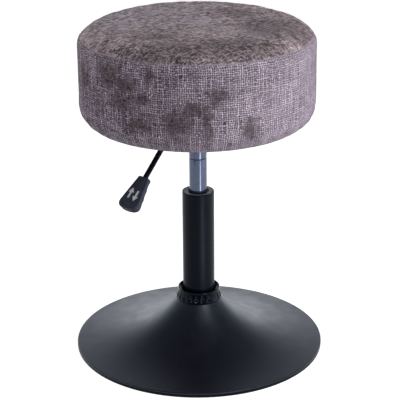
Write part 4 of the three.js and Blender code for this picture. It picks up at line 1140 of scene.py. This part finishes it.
def add_dust_cover():
    """Thin black cloth stretched under the board and stapled over the cover's hem."""
    fold, thickness, sag, fray = HEM_INNER - 0.0009, 0.0006, 0.00025, 0.0006
    radii = [fold * t for t in spaced(0.03, 0.985, 26)]
    radii += [fold - 0.0012, fold, fold + 0.0008, HEM_INNER + 0.002, HEM_INNER + 0.005]
    radii += [CLOTH_RADIUS - 0.0012, CLOTH_RADIUS]
    step_up = CLOTH_TOP - thickness - CLOTH_FOOT
    points = []
    for radius in radii:
        share = progress(fold - radius, 0, 0.002)
        slack = sag * min(radius / HEM_INNER, 1) ** 8 * (1 - share)
        for angle in way_round(FINE):
            way = Vector((*on_circle(angle), 0))
            frayed = fray * soft_noise(way, 14, 2) if radius == CLOTH_RADIUS else 0
            z = CLOTH_FOOT + step_up * share + slack * cos(STAPLE_COUNT * angle)
            points.append(way * (radius + frayed) + UP * z)
    faces = [tuple(range(FINE))]
    for here in range(0, len(points) - FINE, FINE):
        faces += band(here, here + FINE, FINE)
    cloth = finished("dust_sheet", mesh_of(points, faces), "black_cloth", "seat", "dust_cover", 60)
    offset = -1 if cloth.data.polygons[0].normal.z < 0 else 1
    modified(cloth, "SOLIDIFY", thickness=thickness - 0.0001, offset=offset)


def add_staples():
    half, leg = 0.0052, Vector((CLOTH_RADIUS - 0.004, 0, CLOTH_FOOT - 0.0003))
    half_line = [(-half, 0.0009), (-half, 0.0002), (-half + 0.0005, 0)]
    line = half_line + [(-across, up) for across, up in reversed(half_line)]
    wire = [(-0.0004, -0.00024), (0.0004, -0.00024), (0.0004, 0.00024), (-0.0004, 0.00024)]
    staples = []
    for index in range(STAPLE_COUNT):
        angle = 2 * pi * (index + 0.18 * sin(7.1 * index)) / STAPLE_COUNT
        turn = Matrix.Rotation(angle + 0.12 * sin(3.7 * index), 3, "Z")
        middle = Matrix.Rotation(angle, 3, "Z") @ leg
        rings = [[Vector((a, across, up + b)) for a, b in wire] for across, up in line]
        staples.append([[middle + turn @ point for point in ring] for ring in rings])
    finished("dust_cover_staples", skin(*staples), "zinc_steel", "seat")


# ---- stage, lamps and camera


def emptied(owner):
    """A material or world whose emptied node tree is the one being built."""
    owner.use_nodes = True
    Field.tree = owner.node_tree
    Field.tree.nodes.clear()
    return owner


def ray(kind):
    return shade("LightPath", {}, output=f"Is {kind} Ray")


def add_floor():
    """White to the camera, also off or through a glossy surface. Else plain paper."""
    mesh = mesh_of([(-6, -6, 0), (6, -6, 0), (6, 6, 0), (-6, 6, 0)], [(0, 1, 2, 3)])
    mesh.materials.append(emptied(bpy.data.materials.new("floor")))
    backdrop = higher(higher(ray("Camera"), ray("Glossy")), ray("Transmission"))
    paper = shade("BsdfDiffuse", {"Color": (0.8, 0.8, 0.8, 1)})
    glow = shade("Emission", {"Color": (1, 1, 1, 1), "Strength": 0.88})
    lit = shade("AddShader", {0: paper, 1: glow})
    shade("OutputMaterial", {"Surface": shade("MixShader", {0: backdrop, 1: paper, 2: lit})})
    placed("floor", mesh)


def add_world():
    """White wall low down, dim ceiling and an unlit open side. The camera sees white."""
    bpy.context.scene.world = emptied(bpy.data.worlds.new("studio"))
    way = shade("TexCoord", {}, output="Generated")
    low, high = sin(radians(4)), sin(radians(39))
    wall = spread(axes(way)[2], low, high, 1.0, 0.1, smooth=True)
    facing = shade("VectorMath", {0: way, 1: tuple(-AWAY)}, output=1, operation="DOT_PRODUCT")
    open_side = spread(facing, 0.35, 0.85, 1.0, 0.25, smooth=True)
    shine = higher(ray("Glossy"), ray("Transmission"))
    strength = blend(ray("Camera"), wall * blend(shine, 0.61, open_side), 1.0)
    color = tint(ray("Glossy"), (1, 1, 1, 1), COOL_GLOSS)
    light = shade("Background", {"Color": color, "Strength": strength})
    shade("OutputWorld", {"Surface": light})


def add_lamp(name, azimuth, distance, height, size, power, aim=0.3, shiny=False):
    """A soft box. Azimuth is in degrees from the camera's side, towards the right.

    The shiny ones are seen in reflections and light nothing directly.
    """
    angle = radians(azimuth)
    way = RIGHT * sin(angle) - AWAY * cos(angle)
    lamp = bpy.data.lights.new(name, "AREA")
    shape = {"shape": "RECTANGLE", "size": size[0], "size_y": size[1]}
    stand = placed(name, configured(lamp, energy=power, **shape))
    stand.location = way * distance + UP * height
    stand.rotation_mode = "QUATERNION"
    stand.rotation_quaternion = (UP * aim - stand.location).to_track_quat("-Z", "Y")
    return configured(stand, visible_camera=False, visible_glossy=shiny, visible_diffuse=not shiny)


STRIP_ANGLE = 30  # of the upright reflection in the column


def add_lamps():
    add_lamp("key", 76, 1.9, 0.75, (1.4, 1.2), 26)
    add_lamp("fill", -95, 1.9, 0.75, (1.4, 1.2), 6.5)
    add_lamp("overhead", 0, 0.5, 2.1, (1.3, 1.3), 7.5)
    add_lamp("spark", 33, 1.25, 1.15, (0.2, 0.2), 5.0, aim=0.1, shiny=True)
    add_lamp("wall", 180, 2.6, 0.5, (4.4, 0.9), 20, shiny=True)
    strip = add_lamp("strip", STRIP_ANGLE, 0.85, 0.01, (0.16, 1.1), 4.2, shiny=True)
    along = Matrix.Rotation(AZIMUTH + radians(STRIP_ANGLE), 3, "Z")
    strip.rotation_quaternion = (along @ Matrix.Rotation(pi, 3, "X")).to_quaternion()


def add_camera():
    """A long lens above the stool, looking down on it."""
    reach, height, pitch, yaw, roll = 2.092, 1.043, 20.86, -0.077, 0.40
    camera = placed("camera", bpy.data.cameras.new("camera"))
    configured(camera.data, lens=126.72, sensor_width=36)
    place = Matrix.Translation(UP * height - AWAY * reach)
    turns = ((AZIMUTH + radians(yaw), "Z"), (radians(90 - pitch), "X"), (-radians(roll), "Z"))
    for angle, axis in turns:
        place @= Matrix.Rotation(angle, 4, axis)
    camera.matrix_world = place
    bpy.context.scene.camera = camera


# ---- the scene

add_cover()
finish_cad_nodes()
add_base_shell()
add_floor_ring()
add_collar()
add_column()
add_bush()
add_cylinder()
add_seat_plate()
add_cone_socket()
add_lever_rod()
add_handle()
add_handle_mark()
add_foam()
add_dust_cover()
add_staples()
add_floor()
add_world()
add_lamps()
add_camera()
bpy.context.scene.view_settings.view_transform = "Standard"
